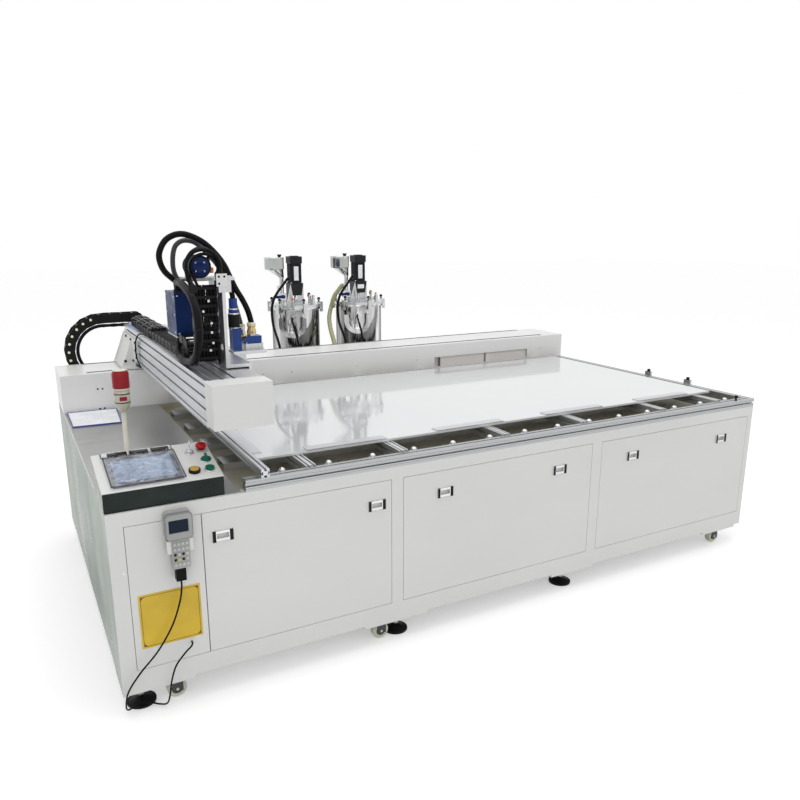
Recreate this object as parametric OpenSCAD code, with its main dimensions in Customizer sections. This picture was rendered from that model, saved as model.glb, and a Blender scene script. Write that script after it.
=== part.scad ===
/* [Cabinet] */
// Length of the cabinet, left to right
cab_l = 3100; // [3060:10:3200]
// Depth of the cabinet, front to back
cab_d = 1790; // [1770:5:1830]
// Height of the cabinet body above its base plates
cab_h = 640; // [620:5:680]
// Gap between the cabinet body and the floor
floor_gap = 100; // [100:1:110]
// Thickness of the side, back and bottom sheets
sheet_t = 4; // [3:0.5:6]
// Depth of the front frame
frame_t = 24; // [20:1:30]
// Depth of the sockets that the front panels sit in
panel_t = 12; // [10:1:14]
// Clearance round each front panel
panel_gap = 1.5; // [1:0.5:3]

/* [Table] */
// Width of the brushed deck on the left
deck_w = 440; // [430:5:455]
// Width of the table's edge rails
rail_w = 40; // [36:1:44]
// Height of the table's edge rails
rail_h = 38; // [34:1:42]
// Height of the pads that carry the work plate above the rails
pad_h = 6; // [4:1:8]
// Depth of the drip pan below the cabinet top
pan_depth = 30; // [28:1:40]
// Distance from the work plate's right end to the cabinet's right side
plate_margin = 114; // [104:5:154]
// Width of the work plate
plate_w = 1220; // [1180:10:1240]
// Thickness of the work plate
plate_t = 10; // [8:1:12]
// Distance from the cabinet front to the work plate
plate_y = 178; // [170:1:185]
// Width and height of the stop profile beside the work plate
stop_w = 30; // [28:1:32]
// Distance between neighbouring ball rollers
ball_pitch = 180; // [170:1:184]
// Radius of the ball rollers
ball_r = 12; // [10:0.5:13]

/* [Rear drive] */
// Width of the rear cover, front to back
cover_w = 315; // [305:5:330]
// Height of the rear cover above the cabinet top
cover_h = 185; // [180:1:195]
// Width of the two slots in the rear cover
slot_w = 12; // [10:1:14]
// Width of the steel spine that carries the long rails
spine_w = 180; // [170:2:184]
// Height of the linear rails
lin_h = 17; // [15:0.5:18]
// Width of the linear rails
lin_w = 20; // [18:1:23]
// Height of a link of the long drag chain
xch_h = 48; // [44:1:50]
// Width of the long drag chain
xch_w = 80; // [74:1:84]
// Bend radius of the long drag chain at its middle line
xch_r = 170; // [165:1:172]

/* [Gantry] */
// Distance from the cabinet's left side to the beam
beam_x = 355; // [350:1:360]
// Width of the beam
beam_w = 120; // [116:1:124]
// Height of the beam
beam_h = 160; // [156:1:164]
// Height of the beam's underside above the rear cover
beam_lift = 38; // [36:1:42]
// Distance from the cabinet front to the beam's front end
beam_y = 66; // [60:1:72]
// Width of the cross drive beside the beam
mod_w = 80; // [78:1:84]
// Height of the cross drive
mod_h = 139; // [136:1:142]
// Depth of the white box on the beam's front end
cap_d = 96; // [90:1:100]

/* [Head] */
// Distance from the cabinet front to the head's post
head_y = 245; // [240:5:300]
// Length of the head carriage along the beam
head_l = 455; // [450:5:470]
// Thickness of the head's plates
head_t = 12; // [10:1:12]
// Height of the post above the head carriage
post_h = 316; // [300:2:330]
// Radius of the servo motor on the head
servo_r = 40; // [36:1:42]
// Height of a link of the short drag chain
ych_h = 30; // [28:1:31]
// Width of the short drag chain
ych_w = 96; // [90:2:98]
// Bend radius of the short drag chain at its middle line
ych_r = 32; // [31:1:33]

/* [Tanks] */
// Radius of a tank's shell
tank_r = 149; // [142:1:152]
// Height of a tank's shell
tank_h = 430; // [410:5:450]
// Radius of a tank's lid
lid_r = 163; // [158:1:166]
// Thickness of a tank's lid
lid_t = 16; // [14:1:18]
// Distance between the two tanks
tank_pitch = 441; // [425:1:448]
// Height of the tank stand above the floor
stand_h = 680; // [660:5:700]

/* [Undercarriage] */
// Radius of a caster's wheel
wheel_r = 34; // [32:0.5:34.5]
// Width of a caster's wheel
wheel_w = 30; // [26:1:32]
// Radius of a levelling foot's pad
foot_r = 50; // [45:1:55]

/* [Controls] */
// Width of the control box
box_w = 385; // [380:1:390]
// Depth of the control box
box_d = 250; // [245:1:255]
// Height of the control box at its front
box_front_h = 66; // [62:1:70]
// Height of the control box at its back
box_back_h = 122; // [118:1:126]
// Radius of the push buttons
button_r = 15; // [14:0.5:16]

/* [Hidden] */
$fn = 48;

// Heights above the underside of the cabinet body
rail_top = cab_h + rail_h;
plate_z = rail_top + pad_h;
cover_y = cab_d - cover_w;
cover_top = cab_h + cover_h;
beam_z = cover_top + beam_lift;
beam_top = beam_z + beam_h;
pan_z = cab_h - pan_depth;

// Heights of the front panels and the ends of each of them
panel_z = [74, cab_h - 52];
panel_x = [[53, 297], [300, 1017], [1070, 2025], [2083, cab_l - 35]];
handle_x = [[330, 917], [1220, 1804], [2236, cab_l - 263]];
handle_w = 72;
handle_h = 36;
handle_z = panel_z[1] - 89;
bay_x = [[sheet_t, 1033], [1053, 2044], [2064, cab_l - sheet_t]];
bay_depth = cab_d - sheet_t;

// The well in the table
well_x = [deck_w, cab_l - rail_w];
stop_x = deck_w + 72;
plate_x = stop_x + stop_w + 4;
plate_l = cab_l - plate_margin - plate_x;
beam_in = [163, 546, 1032];
beam_at = concat(beam_in, [for (i = [2 : -1 : 0]) plate_l + 54 - beam_in[i]]);
bar_at = [157, 447, 737, 1027];
strip_l = 340;
strip_at = [for (i = [0 : 3]) 204 + i * (plate_l - strip_l - 370) / 3];
// Ball rollers along the plate, each set beside a cross beam that would be in its way
roller_count = floor((cab_l - rail_w - plate_x - 58 - 2 * ball_r) / ball_pitch) + 1;
roller_gap = 20 + ball_r + 3;
function beside(x, near) = len(near) == 0 ? x : near[0] + (x < near[0] ? -roller_gap : roller_gap);
roller_at = [for (i = [0 : roller_count - 1]) let (x = 58 + ball_pitch * i)
  beside(x, [for (b = beam_at) if (abs(x - b) < roller_gap) b])];

// The drive behind the rear cover
spine_top = cover_top - 3;
leg_t = 6;
leg_gap = (slot_w - leg_t) / 2;
rail_z = cab_h + 100;
slot_out = spine_w / 2 + lin_h + 19.5 + leg_t + leg_gap;
spine_y = cab_d - slot_out - 5;
tray_y = cab_d + 2;
xch_y = tray_y + 8;
xch_x = 252;
xch_z = 713;

// The gantry and the head
mod_x = beam_x + beam_w;
mod_z = beam_top - mod_h - 4;
mod_top = mod_z + mod_h;
mod_y1 = 1700;
car_x = mod_x + mod_w + 6;
car_top = beam_top + 13;
head_y1 = head_y + head_l;
ych_x = beam_x + 25;
ych_z = beam_top + 16;
ych_y = 452;
ych_fix_y = mod_y1 - 10;
box_z = ych_z + 2 * ych_r + 4;
box_x = beam_x + 21;
box_y0 = head_y1 - 150;
ebox = [102, 170, 165];
zrail_y = [head_y1 - 140, head_y1 - 40];
z_x = car_x + head_t + 14.5;
deck_z = beam_top - 1;
pump_y = head_y + 355;

// The tanks
tank_x = 1432;
tank_y = cab_d + 290;
tank_top = stand_h - floor_gap + 30 + tank_h;

// The undercarriage
foot_at = [67, 1079, 1957];
caster_at = [184, 992, cab_l - 130];
foot_y = 88;
caster_y = 62;
under_t = 12;
plate_at = [[0, 241], [900, 1183], [1830, 2071], [cab_l - 280, cab_l - 40]];

// The cords: radii, and where the pendant cord enters the cabinet
cord_r = 3;
gland_at = [236, 133];
gland_r = 9;
hook_t = 4;

// Overall depth of the object from the pendant to the tank stand
pendant_out = 46;
rear_out = 480;
y_mid = (cab_d + rear_out - pendant_out) / 2;

function unit(v) = v / norm(v);

// Catmull-Rom curve through four points
function bend(a, b, c, d, t) =
  0.5 * (2 * b + (c - a) * t + (2 * a - 5 * b + 4 * c - d) * t * t + (-a + 3 * b - 3 * c + d) * t * t * t);

function smooth(p, n) = [
  for (i = [0 : len(p) - 2], k = [0 : n - 1])
    bend(p[max(i - 1, 0)], p[i], p[i + 1], p[min(i + 2, len(p) - 1)], k / n),
  p[len(p) - 1]
];

function tangents(p) = [
  for (i = [0 : len(p) - 1]) unit(p[min(i + 1, len(p) - 1)] - p[max(i - 1, 0)])
];

// A side direction at each point, carried along the curve without twist
function sides(t, first) = [
  for (i = 0, u = unit(cross(t[0], first)); i < len(t);
       i = i + 1, u = i < len(t) ? unit(u - (u * t[i]) * t[i]) : u) u
];

// Curve whose first and last points are joined by straight leads
function led(p, n) = concat([p[0]], smooth([for (i = [1 : len(p) - 2]) p[i]], n), [p[len(p) - 1]]);

// Tube along a list of points
module tube(p, r, n, first = [0, 0, 1]) {
  t = tangents(p);
  u = sides(t, first);
  m = len(p);
  points = [
    for (i = [0 : m - 1], k = [0 : n - 1])
      p[i] + r * (cos(360 * k / n) * u[i] + sin(360 * k / n) * cross(t[i], u[i]))
  ];
  walls = [
    for (i = [0 : m - 2], k = [0 : n - 1])
      [i * n + k, i * n + (k + 1) % n, (i + 1) * n + (k + 1) % n, (i + 1) * n + k]
  ];
  polyhedron(points, concat(
    [[for (k = [n - 1 : -1 : 0]) k]], walls, [[for (k = [0 : n - 1]) (m - 1) * n + k]]));
}

// Moves the cabinet's front left bottom corner to its place over the floor
module place() {
  translate([-cab_l / 2, -y_mid, floor_gap]) children();
}

// Box between two corners
module block(a, b) {
  translate(a) cube(b - a);
}

// Rounded box between two corners, with upright edges of radius r
module soft_block(a, b, r) {
  translate([a[0], a[1], a[2]]) linear_extrude(b[2] - a[2]) rounded(b[0] - a[0], b[1] - a[1], r);
}

module rounded(w, h, r) {
  translate([r, 0]) square([w - 2 * r, h]);
  translate([0, r]) square([w, h - 2 * r]);
  for (x = [r, w - r], y = [r, h - r]) translate([x, y]) circle(r);
}

// Cross-section of a slotted profile with nx by ny slots
module slotted(w, h, nx, ny, slot = 8, lip = 3, deep = 8, wide = 16) {
  difference() {
    square([w, h]);
    for (i = [0 : nx - 1]) {
      x = w * (i + 0.5) / nx;
      for (y = [0, h - lip]) translate([x - slot / 2, y - (y > 0 ? 0 : 1)]) square([slot, lip + 1]);
      for (y = [lip, h - deep]) translate([x - wide / 2, y]) square([wide, deep - lip]);
    }
    for (i = [0 : ny - 1]) {
      y = h * (i + 0.5) / ny;
      for (x = [0, w - lip]) translate([x - (x > 0 ? 0 : 1), y - slot / 2]) square([lip + 1, slot]);
      for (x = [lip, w - deep]) translate([x, y - wide / 2]) square([deep - lip, wide]);
    }
  }
}

// Extrusion of a cross-section in x and z along y
module along_y(y0, y1) {
  translate([0, y1, 0]) rotate([90, 0, 0]) linear_extrude(y1 - y0) children();
}

// Extrusion of a cross-section in y and z along x
module along_x(x0, x1) {
  translate([x0, 0, 0]) rotate([90, 0, 90]) linear_extrude(x1 - x0) children();
}

// White sheet steel body with its front frame, ledges and base plates
module cabinet_body() color("whitesmoke") place() {
  difference() {
    block([0, 0, 0], [cab_l, cab_d, cab_h - 3]);
    for (b = bay_x)
      block([b[0], frame_t, sheet_t], [b[1], bay_depth, cab_h - 54]);
    for (b = bay_x)
      block([max(b[0], well_x[0] + 20), rail_w + 20, cab_h - 55], [min(b[1], well_x[1] - 20), cover_y - 20, cab_h]);
    block([sheet_t, frame_t, cab_h - 55], [well_x[0] - sheet_t, bay_depth, cab_h - 6]);
    block([well_x[0] - 5, cover_y + sheet_t, cab_h - 55], [well_x[1], bay_depth, cab_h - 6]);
    block([well_x[0], rail_w, pan_z - 4], [well_x[1], cover_y, cab_h]);
    panel_socket([panel_x[0][0], panel_x[1][1]]);
    panel_socket(panel_x[2]);
    panel_socket(panel_x[3]);
    for (p = panel_x)
      block([p[0] + 18, -1, panel_z[0] + 18], [p[1] - 18, frame_t + 1, panel_z[1] - 18]);
  }
  for (p = plate_at, y = [0, cab_d - 180])
    block([p[0], y, -under_t], [p[1], y + 180, 0]);
}

// Shallow recess in the front frame for one or more panels
module panel_socket(x) {
  block([x[0] - panel_gap, -1, panel_z[0] - panel_gap], [x[1] + panel_gap, panel_t + 1, panel_z[1] + panel_gap]);
}

// Folded front panel
module folded_panel(x) {
  difference() {
    block([x[0], 0, panel_z[0]], [x[1], panel_t, panel_z[1]]);
    block([x[0] + 2, 2, panel_z[0] + 2], [x[1] - 2, panel_t + 1, panel_z[1] - 2]);
  }
}

// Narrow panel with the hook plate of the pendant and the cord's gland
module service_panel() color("white") place() {
  difference() {
    folded_panel(panel_x[0]);
    translate([gland_at[0], 1, gland_at[1]]) rotate([90, 0, 0]) cylinder(h = 6, r = gland_r, center = true);
  }
  translate([gland_at[0], 0, gland_at[1]]) rotate([90, 0, 0]) difference() {
    union() {
      translate([0, 0, -3]) cylinder(h = 5, r = gland_r);
      cylinder(h = 4, r = gland_r + 3);
    }
    translate([0, 0, -4]) cylinder(h = 10, r = cord_r + 0.4);
  }
  block([195, -hook_t, 470], [250, 0, 560]);
}

// Pull-off front panel with its two pull handles
module front_panel(i) place() {
  color("white") difference() {
    union() {
      folded_panel(panel_x[i + 1]);
      for (x = handle_x[i])
        block([x + 6, 1, handle_z - 14], [x + handle_w - 6, panel_t, handle_z + 14]);
    }
    for (x = handle_x[i])
      block([x + 12, -1, handle_z - 9], [x + handle_w - 12, 9, handle_z + 9]);
  }
  color("dimgray") for (x = handle_x[i], s = [0, handle_w - 12])
    block([x + s, -7, handle_z - handle_h / 2 - 3], [x + s + 12, 0, handle_z + handle_h / 2 + 3]);
  color("silver") for (x = handle_x[i])
    difference() {
      block([x + 12, -5, handle_z - handle_h / 2], [x + handle_w - 12, 0, handle_z + handle_h / 2]);
      block([x + 15, -6, handle_z - 9], [x + handle_w - 15, 1, handle_z + 9]);
    }
}

module front_panel_1() front_panel(0);
module front_panel_2() front_panel(1);
module front_panel_3() front_panel(2);

// Brushed steel sheet over the left end of the cabinet
module deck_sheet() color("darkgray") place()
  block([4, 4, cab_h - 3], [well_x[0], cover_y - 2, cab_h]);

// Shallow pan in the well under the table
module drip_pan() color("tan") place()
  difference() {
    block([well_x[0] + 2, rail_w + 2, pan_z - 4], [well_x[1] - 2, cover_y - 2, cab_h]);
    block([well_x[0] + 5, rail_w + 5, pan_z], [well_x[1] - 5, cover_y - 5, cab_h + 1]);
  }

// Grooved edge rails, cross beams and channel bars that carry the work plate
module table_frame() color("lightgray") place() {
  difference() {
    along_x(deck_w + 15, cab_l) translate([0, cab_h - 3]) slotted(rail_w, rail_h + 3, 1, 1, 8, 3, 8, 16);
    for (i = [0 : 2])
      block([deck_w, -1, cab_h + 6 + 11 * i], [cab_l + 1, 1.5, cab_h + 8 + 11 * i]);
  }
  block([cab_l - rail_w, rail_w, cab_h - 3], [cab_l, cover_y, rail_top]);
  for (b = beam_at)
    translate([plate_x + b - 20, 0, 0]) along_y(rail_w, cover_y - 5)
      translate([0, cab_h]) slotted(40, rail_h + pad_h, 2, 1, 6, 2.5, 7, 12);
  for (y = bar_at) channel_bar(plate_y + y);
}

// Inverted channel that carries the cross beams
module channel_bar(y) {
  difference() {
    block([deck_w + 30, y, pan_z], [well_x[1] - 12, y + 100, cab_h]);
    block([deck_w + 29, y + 4, pan_z - 1], [well_x[1] - 11, y + 96, cab_h - 4]);
  }
}

// Ball rollers along the front rail
module ball_rollers() color("silver") place()
  for (x = roller_at)
    translate([plate_x + x, rail_w + ball_r + 1, rail_top - 2]) {
      sphere(ball_r);
      translate([0, 0, -22]) cylinder(h = 18, r = ball_r + 1);
      translate([-ball_r, -ball_r - 1, -22]) cube([2 * ball_r, ball_r, 14]);
    }

// Slotted stop profile on the left and strips on the plate's edges
module plate_stops() color("silver") place() {
  along_y(2, cover_y - 8) translate([stop_x, rail_top]) slotted(stop_w, stop_w, 1, 1, 6, 2.5, 7, 12);
  for (x = strip_at)
    block([plate_x + x, plate_y, plate_z + plate_t], [plate_x + x + strip_l, plate_y + 45, plate_z + plate_t + 4]);
  block([plate_x, plate_y + 60, plate_z + plate_t], [plate_x + 45, plate_y + 460, plate_z + plate_t + 4]);
  for (y = [200, 480])
    translate([cab_l - rail_w + 14, plate_y + y, rail_top]) {
      cube([12, 44, 26]);
      translate([6, 22, 26]) cylinder(h = 14, r = 9);
    }
}

// White work plate
module work_plate() color("white") place()
  block([plate_x, plate_y, plate_z], [plate_x + plate_l, plate_y + plate_w, plate_z + plate_t]);

// Long white cover with two slots, end walls, a window and the drag chain tray
module rear_cover() color("whitesmoke") place() {
  top = cover_top;
  difference() {
    block([0, cover_y, cab_h - 3], [cab_l, cab_d, top]);
    block([3, cover_y + 3, cab_h - 4], [cab_l - 3, cab_d - 3, top - 3]);
    for (y = [spine_y - slot_out, spine_y + slot_out - slot_w])
      block([126, y, top - 10], [cab_l - 40, y + slot_w, top + 10]);
    block([cab_l - 1000, cover_y - 1, top - 137], [cab_l - 50, cover_y + 4, top - 80]);
  }
  difference() {
    block([150, cab_d, 682], [cab_l - 60, tray_y + xch_w + 14, 745]);
    block([149, cab_d + 2, 685], [cab_l - 59, tray_y + xch_w + 11, 746]);
  }
}

// Steel spine under the cover with a linear rail on each side
module drive_spine() color("slategray") place() {
  difference() {
    block([60, spine_y - spine_w / 2, cab_h - 3], [cab_l - 20, spine_y + spine_w / 2, spine_top]);
    block([59, spine_y - spine_w / 2 + 6, cab_h + 3], [cab_l - 19, spine_y + spine_w / 2 - 6, spine_top - 6]);
  }
  for (s = [-1, 1])
    translate([cab_l / 2 + 20, spine_y + s * (spine_w + lin_h) / 2, rail_z])
      cube([cab_l - 90, lin_h, lin_w], center = true);
}

// Where a link sits along a straight, half a circle and a second straight
function link_at(s, a, r) =
  s < a ? [a - s, 0, 180]
  : s < a + PI * r ? [-r * sin((s - a) / r * 180 / PI), r - r * cos((s - a) / r * 180 / PI), 180 - (s - a) / r * 180 / PI]
  : [s - a - PI * r, 2 * r, 0];

// One drag chain link: two side plates, two cross bars and the pins to the link before it
module link(pitch, h, w, step) {
  inner = 0.8 + step % 2 * 3.2;
  for (z = [-w / 2, w / 2 - 7.5])
    translate([0, 0, z]) cylinder(h = 7.5, r = h / 5);
  for (z = [-w / 2 + inner, w / 2 - inner - 3])
    translate([0, 0, z]) linear_extrude(3) {
      translate([0, -h / 2]) square([pitch, h]);
      for (x = [0, pitch]) translate([x, 0]) circle(h / 2);
    }
  for (y = [-h / 2, h / 2 - 3])
    translate([pitch / 2 - 5, y, -w / 2 + inner]) cube([10, 3, w - 2 * inner]);
}

// Links from station s0 to s1 of a loop drawn in x and y
module links(s0, s1, a, r, pitch, h, w) {
  for (i = [ceil(s0 / pitch) : floor(s1 / pitch) - 1]) {
    at = link_at(i * pitch, a, r);
    to = link_at((i + 1) * pitch, a, r);
    translate([at[0], at[1], 0])
      rotate([0, 0, atan2(to[1] - at[1], to[0] - at[0])])
        link(norm([to[0] - at[0], to[1] - at[1]]), h, w, i % 2);
  }
}

// Turns the plane of a chain upright, running along x
module upright_x(y) {
  translate([0, y, 0]) rotate([90, 0, 0]) children();
}

xch_pitch = 55;
xch_low = 220;
xch_bend_end = xch_low + PI * xch_r;
xch_run = xch_pitch * floor((cab_l - 70 - xch_x - xch_low - xch_pitch - xch_h / 2) / xch_pitch);

// Bend and upper run of the long drag chain, which travel with the gantry
module x_chain_loop() color("black") place()
  translate([xch_x, 0, xch_z]) upright_x(xch_y + xch_w / 2)
    links(0, xch_bend_end + 190, xch_low, xch_r, xch_pitch, xch_h, xch_w);

// Lower run of the long drag chain in its tray
module x_chain_run() color("black") place()
  translate([xch_x + xch_low + xch_pitch, 0, xch_z]) upright_x(xch_y + xch_w / 2)
    links(0, xch_run, xch_run, xch_r, xch_pitch, xch_h, xch_w);

// Screw with its pad, lock nut and washer
module foot(x, y) translate([x, y, 0]) {
  translate([0, 0, -floor_gap]) cylinder(h = 8, r = foot_r);
  translate([0, 0, -floor_gap + 8]) cylinder(h = 10, r1 = foot_r - 6, r2 = 16);
  translate([0, 0, -floor_gap + 18]) cylinder(h = floor_gap - 18 - under_t, r = 8);
  translate([0, 0, -floor_gap + 30]) cylinder(h = 10, r = 14, $fn = 6);
  translate([0, 0, -under_t - 12]) cylinder(h = 12, r = 14, $fn = 6);
}

fork_drop = floor_gap - under_t - wheel_r - 1.5;

// Fork of a caster, hanging from its top plate at the origin
module fork(swivel) {
  if (swivel) translate([0, 0, -10.3]) cylinder(h = 7, r = 24);
  else translate([-30, -30, -4]) cube([60, 60, 4]);
  top = swivel ? -10.3 : -4;
  difference() {
    translate([-18, -wheel_w / 2 - 5, -fork_drop - 10]) cube([38, wheel_w + 10, fork_drop + 10 + top]);
    translate([-19, -wheel_w / 2 - 2, -fork_drop - 11]) cube([40, wheel_w + 4, fork_drop + 6 + top]);
    translate([0, 0, -fork_drop]) rotate([90, 0, 0]) cylinder(h = 60, r = 5.05, center = true);
  }
}

// Levelling feet, top plates of the swivel casters and forks of the rear casters
module undercarriage() color("dimgray") place() {
  for (x = foot_at, y = [foot_y, cab_d - foot_y]) foot(x, y);
  foot(cab_l - 230, cab_d - foot_y);
  for (x = caster_at) {
    translate([x - 32, caster_y - 30, -under_t - 3]) cube([64, 60, 3]);
    translate([x, caster_y, -under_t - 10]) cylinder(h = 7, r = 10);
    translate([x, cab_d - caster_y, -under_t]) fork(false);
  }
}

module caster_fork(i) color("gray") place()
  translate([caster_at[i], caster_y, -under_t]) difference() {
    fork(true);
    translate([0, 0, -11]) cylinder(h = 9, r = 10.05);
  }

module caster_fork_1() caster_fork(0);
module caster_fork_2() caster_fork(1);
module caster_fork_3() caster_fork(2);

// Wheel with its hub and axle
module caster_wheel(i) color("cornsilk") place() {
  y = i < 3 ? caster_y : cab_d - caster_y;
  translate([caster_at[i % 3], y, -under_t - fork_drop]) rotate([90, 0, 0]) {
    rotate_extrude() {
      translate([0, -wheel_w / 2 - 1.5]) square([12, wheel_w + 3]);
      translate([0, -wheel_w / 2]) square([wheel_r - 3, wheel_w]);
      translate([0, -wheel_w / 2 + 4]) square([wheel_r, wheel_w - 8]);
    }
    cylinder(h = wheel_w + 14, r = 5, center = true);
  }
}

module caster_wheel_1() caster_wheel(0);
module caster_wheel_2() caster_wheel(1);
module caster_wheel_3() caster_wheel(2);
module caster_wheel_4() caster_wheel(3);
module caster_wheel_5() caster_wheel(4);
module caster_wheel_6() caster_wheel(5);

box_y = 12;
box_slope = atan2(box_back_h - box_front_h, box_d);

// Moves to a point on the sloping top of the control box, x from the left, s up the slope
module on_slope(x, s) {
  translate([x, box_y, cab_h + box_front_h]) rotate([box_slope, 0, 0]) translate([0, s, 0]) children();
}

// Sloping control box with holes for its buttons
module control_box() color("darkslategray") place() {
  difference() {
    along_x(0, box_w) polygon([[box_y, cab_h], [box_y + box_d, cab_h],
      [box_y + box_d, cab_h + box_back_h], [box_y, cab_h + box_front_h]]);
    along_x(3, box_w - 3) polygon([[box_y + 3, cab_h - 1], [box_y + box_d - 3, cab_h - 1],
      [box_y + box_d - 3, cab_h + box_back_h - 5], [box_y + 3, cab_h + box_front_h - 4]]);
    for (c = control_at) on_slope(c[0], c[1]) cylinder(h = 30, r = c[2] + 0.05, center = true);
  }
  on_slope(37, 22) cube([222, 188, 4]);
  on_slope(37, 214) cube([222, 16, 9]);
}

// Display in its bezel
module touch_screen() color("lightsteelblue") place()
  on_slope(45, 44) translate([0, 0, 4]) cube([206, 158, 3]);

// Places on the slope and stem radii: stop, key switch, mode knob, start and reset
control_at = [[358, 195, 10], [314, 184, 9], [356, 118, 10], [352, 52, button_r - 3], [301, 54, button_r - 3]];

// Part of a control at place i on the slope
module at_control(i) {
  on_slope(control_at[i][0], control_at[i][1]) children();
}

// Mushroom head on its stem
module emergency_stop() color("crimson") place() at_control(0) {
  translate([0, 0, -14]) cylinder(h = 26, r = 10);
  translate([0, 0, 12]) rotate_extrude() polygon([[0, 0], [14, 0], [20, 4], [20, 8], [15, 13], [0, 15]]);
}

// Push button on its stem
module push_button(i, c) color(c) place() at_control(i) {
  translate([0, 0, -12]) cylinder(h = 18, r = button_r - 3);
  translate([0, 0, 6]) cylinder(h = 6, r = button_r);
}

module start_button() push_button(3, "seagreen");
module reset_button() push_button(4, "gold");

// Key in its barrel
module key_switch() color("silver") place() at_control(1) {
  translate([0, 0, -12]) cylinder(h = 18, r = 9);
  translate([0, 0, 3]) cylinder(h = 5, r = 14);
  translate([-1.5, -8, 8]) cube([3, 16, 22]);
}

// Selector knob with a raised grip
module mode_knob() color("mediumseagreen") place() at_control(2) {
  translate([0, 0, -12]) cylinder(h = 16, r = 10);
  translate([0, 0, 3]) cylinder(h = 6, r = 17);
  translate([-4, -15, 9]) cube([8, 30, 12]);
}

// Signal lamp on its pole behind the control box
module tower_lamp() color("firebrick") place()
  translate([124, 300, cab_h]) {
    cylinder(h = 4, r = 24);
    cylinder(h = 256, r = 8);
    translate([0, 0, 256]) cylinder(h = 26, r1 = 9, r2 = 26);
    translate([0, 0, 282]) cylinder(h = 58, r = 26);
    translate([0, 0, 340]) cylinder(h = 50, r = 28);
    translate([0, 0, 390]) cylinder(h = 12, r1 = 28, r2 = 22);
  }

// Hand-held programmer hanging on the service panel
module pendant() color("gray") place() {
  back_y = -hook_t - 0.5;
  // Head round the display, and the narrower grip with its keys
  difference() {
    soft_pendant([172, -pendant_out, 531], [260, back_y, 621], 14);
    block([182, -pendant_out - 1, 555], [247, -pendant_out + 3, 600]);
  }
  soft_pendant([188, -pendant_out + 5, 428], [246, back_y, 541], 6);
  for (ix = [0 : 3], iz = [0 : 4])
    block([193 + 13 * ix, -pendant_out + 3, 438 + 18 * iz], [202 + 13 * ix, -pendant_out + 6, 448 + 18 * iz]);
  // Side grips and the cord's sleeve
  for (x = [175, 245]) block([x, -pendant_out + 9, 481], [x + 14, back_y - 8, 529]);
  block([197, -pendant_out + 8, 382], [229, back_y - 6, 429]);
}

// Rounded box between two corners, with its round edges along y
module soft_pendant(a, b, r) {
  translate([a[0], b[1], a[2]]) rotate([90, 0, 0]) linear_extrude(b[1] - a[1])
    rounded(b[0] - a[0], b[2] - a[2], r);
}

// Slotted beam of the gantry, with two columns of hollow cells
module gantry_beam() color("silver") place() {
  cell_w = (beam_w - 36) / 2;
  cell_h = (beam_h - 40) / 3;
  along_y(beam_y, cab_d) translate([beam_x, beam_z]) difference() {
    slotted(beam_w, beam_h, 3, 4, 8, 4, 12, 20);
    for (i = [0, 1], k = [0 : 2])
      translate([16 + i * (cell_w + 4), 16 + k * (cell_h + 4)]) square([cell_w, cell_h]);
  }
}

// Closed drive along the beam's right side, with its rail and cover band
module y_module() color("gainsboro") place() {
  difference() {
    block([mod_x, beam_y, mod_z], [mod_x + mod_w, mod_y1, mod_top]);
    block([mod_x + 10, beam_y + 14, mod_z + 10], [mod_x + mod_w + 1, mod_y1 - 14, mod_top - 10]);
  }
  block([mod_x + mod_w - 3, beam_y + 13, mod_z + 24], [mod_x + mod_w, mod_y1 - 13, mod_top - 24]);
  translate([mod_x + 10, beam_y + 40, mod_z + mod_h / 2 - lin_w / 2])
    cube([lin_h - 3, mod_y1 - beam_y - 80, lin_w]);
}

// White box on the front end of the beam
module beam_end_box() color("whitesmoke") place()
  difference() {
    block([beam_x - 2, beam_y - cap_d, beam_z + 9], [mod_x + mod_w + 2, beam_y, beam_top - 1]);
    block([beam_x + 1, beam_y - cap_d + 3, beam_z + 12], [mod_x + mod_w - 1, beam_y - 3, beam_top - 4]);
  }

// How far the bracket's side plate reaches forward along the beam
bracket_front = 115;

// Bracket that carries the beam, with its legs and bearing blocks under the cover
module gantry_bracket() color("white") place() {
  z0 = cover_top + 4;
  y0 = cover_y + 6;
  y1 = spine_y + slot_out - leg_gap;
  x1 = mod_x + mod_w + 45;
  block([beam_x - 66, y0, z0], [x1, y1, z0 + 10]);
  block([beam_x, y0 + 30, z0 + 10], [x1, y1, beam_z]);
  block([beam_x - 10, y0, z0 + 10], [beam_x, y1, beam_z + 122]);
  block([beam_x - 10, y0 - bracket_front, beam_z + 16], [beam_x, y0, beam_z + 122]);
  for (y = [y0 + 25, y1 - 12])
    along_y(y, y + 10) polygon([[beam_x - 64, z0 + 10], [beam_x - 10, z0 + 10], [beam_x - 10, beam_z + 116]]);
  along_y(y0 + 35, y1 - 12)
    polygon([[beam_x - 56, z0 + 10], [beam_x - 50, z0 + 10], [beam_x - 10, beam_z + 90], [beam_x - 10, beam_z + 102]]);
  for (s = [-1, 1]) {
    leg_y = spine_y + s * (slot_out - leg_gap - leg_t / 2);
    block([beam_x - 50, leg_y - leg_t / 2, rail_z - 40], [x1 - 20, leg_y + leg_t / 2, z0]);
    for (x = [beam_x - 40, x1 - 120])
      bearing(x, leg_y - s * leg_t / 2, -s);
  }
  // Arm that holds the end of the long drag chain
  arm_z = xch_z + 2 * xch_r - xch_h / 2;
  block([beam_x + 30, y1 - 10, beam_z - 14], [beam_x + 90, cab_d + 7, beam_z]);
  block([beam_x + 30, cab_d, beam_z - 14], [beam_x + 90, cab_d + 7, arm_z]);
  block([beam_x + 30, cab_d, arm_z - 9], [beam_x + 110, xch_y + xch_w, arm_z]);
}

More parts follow.
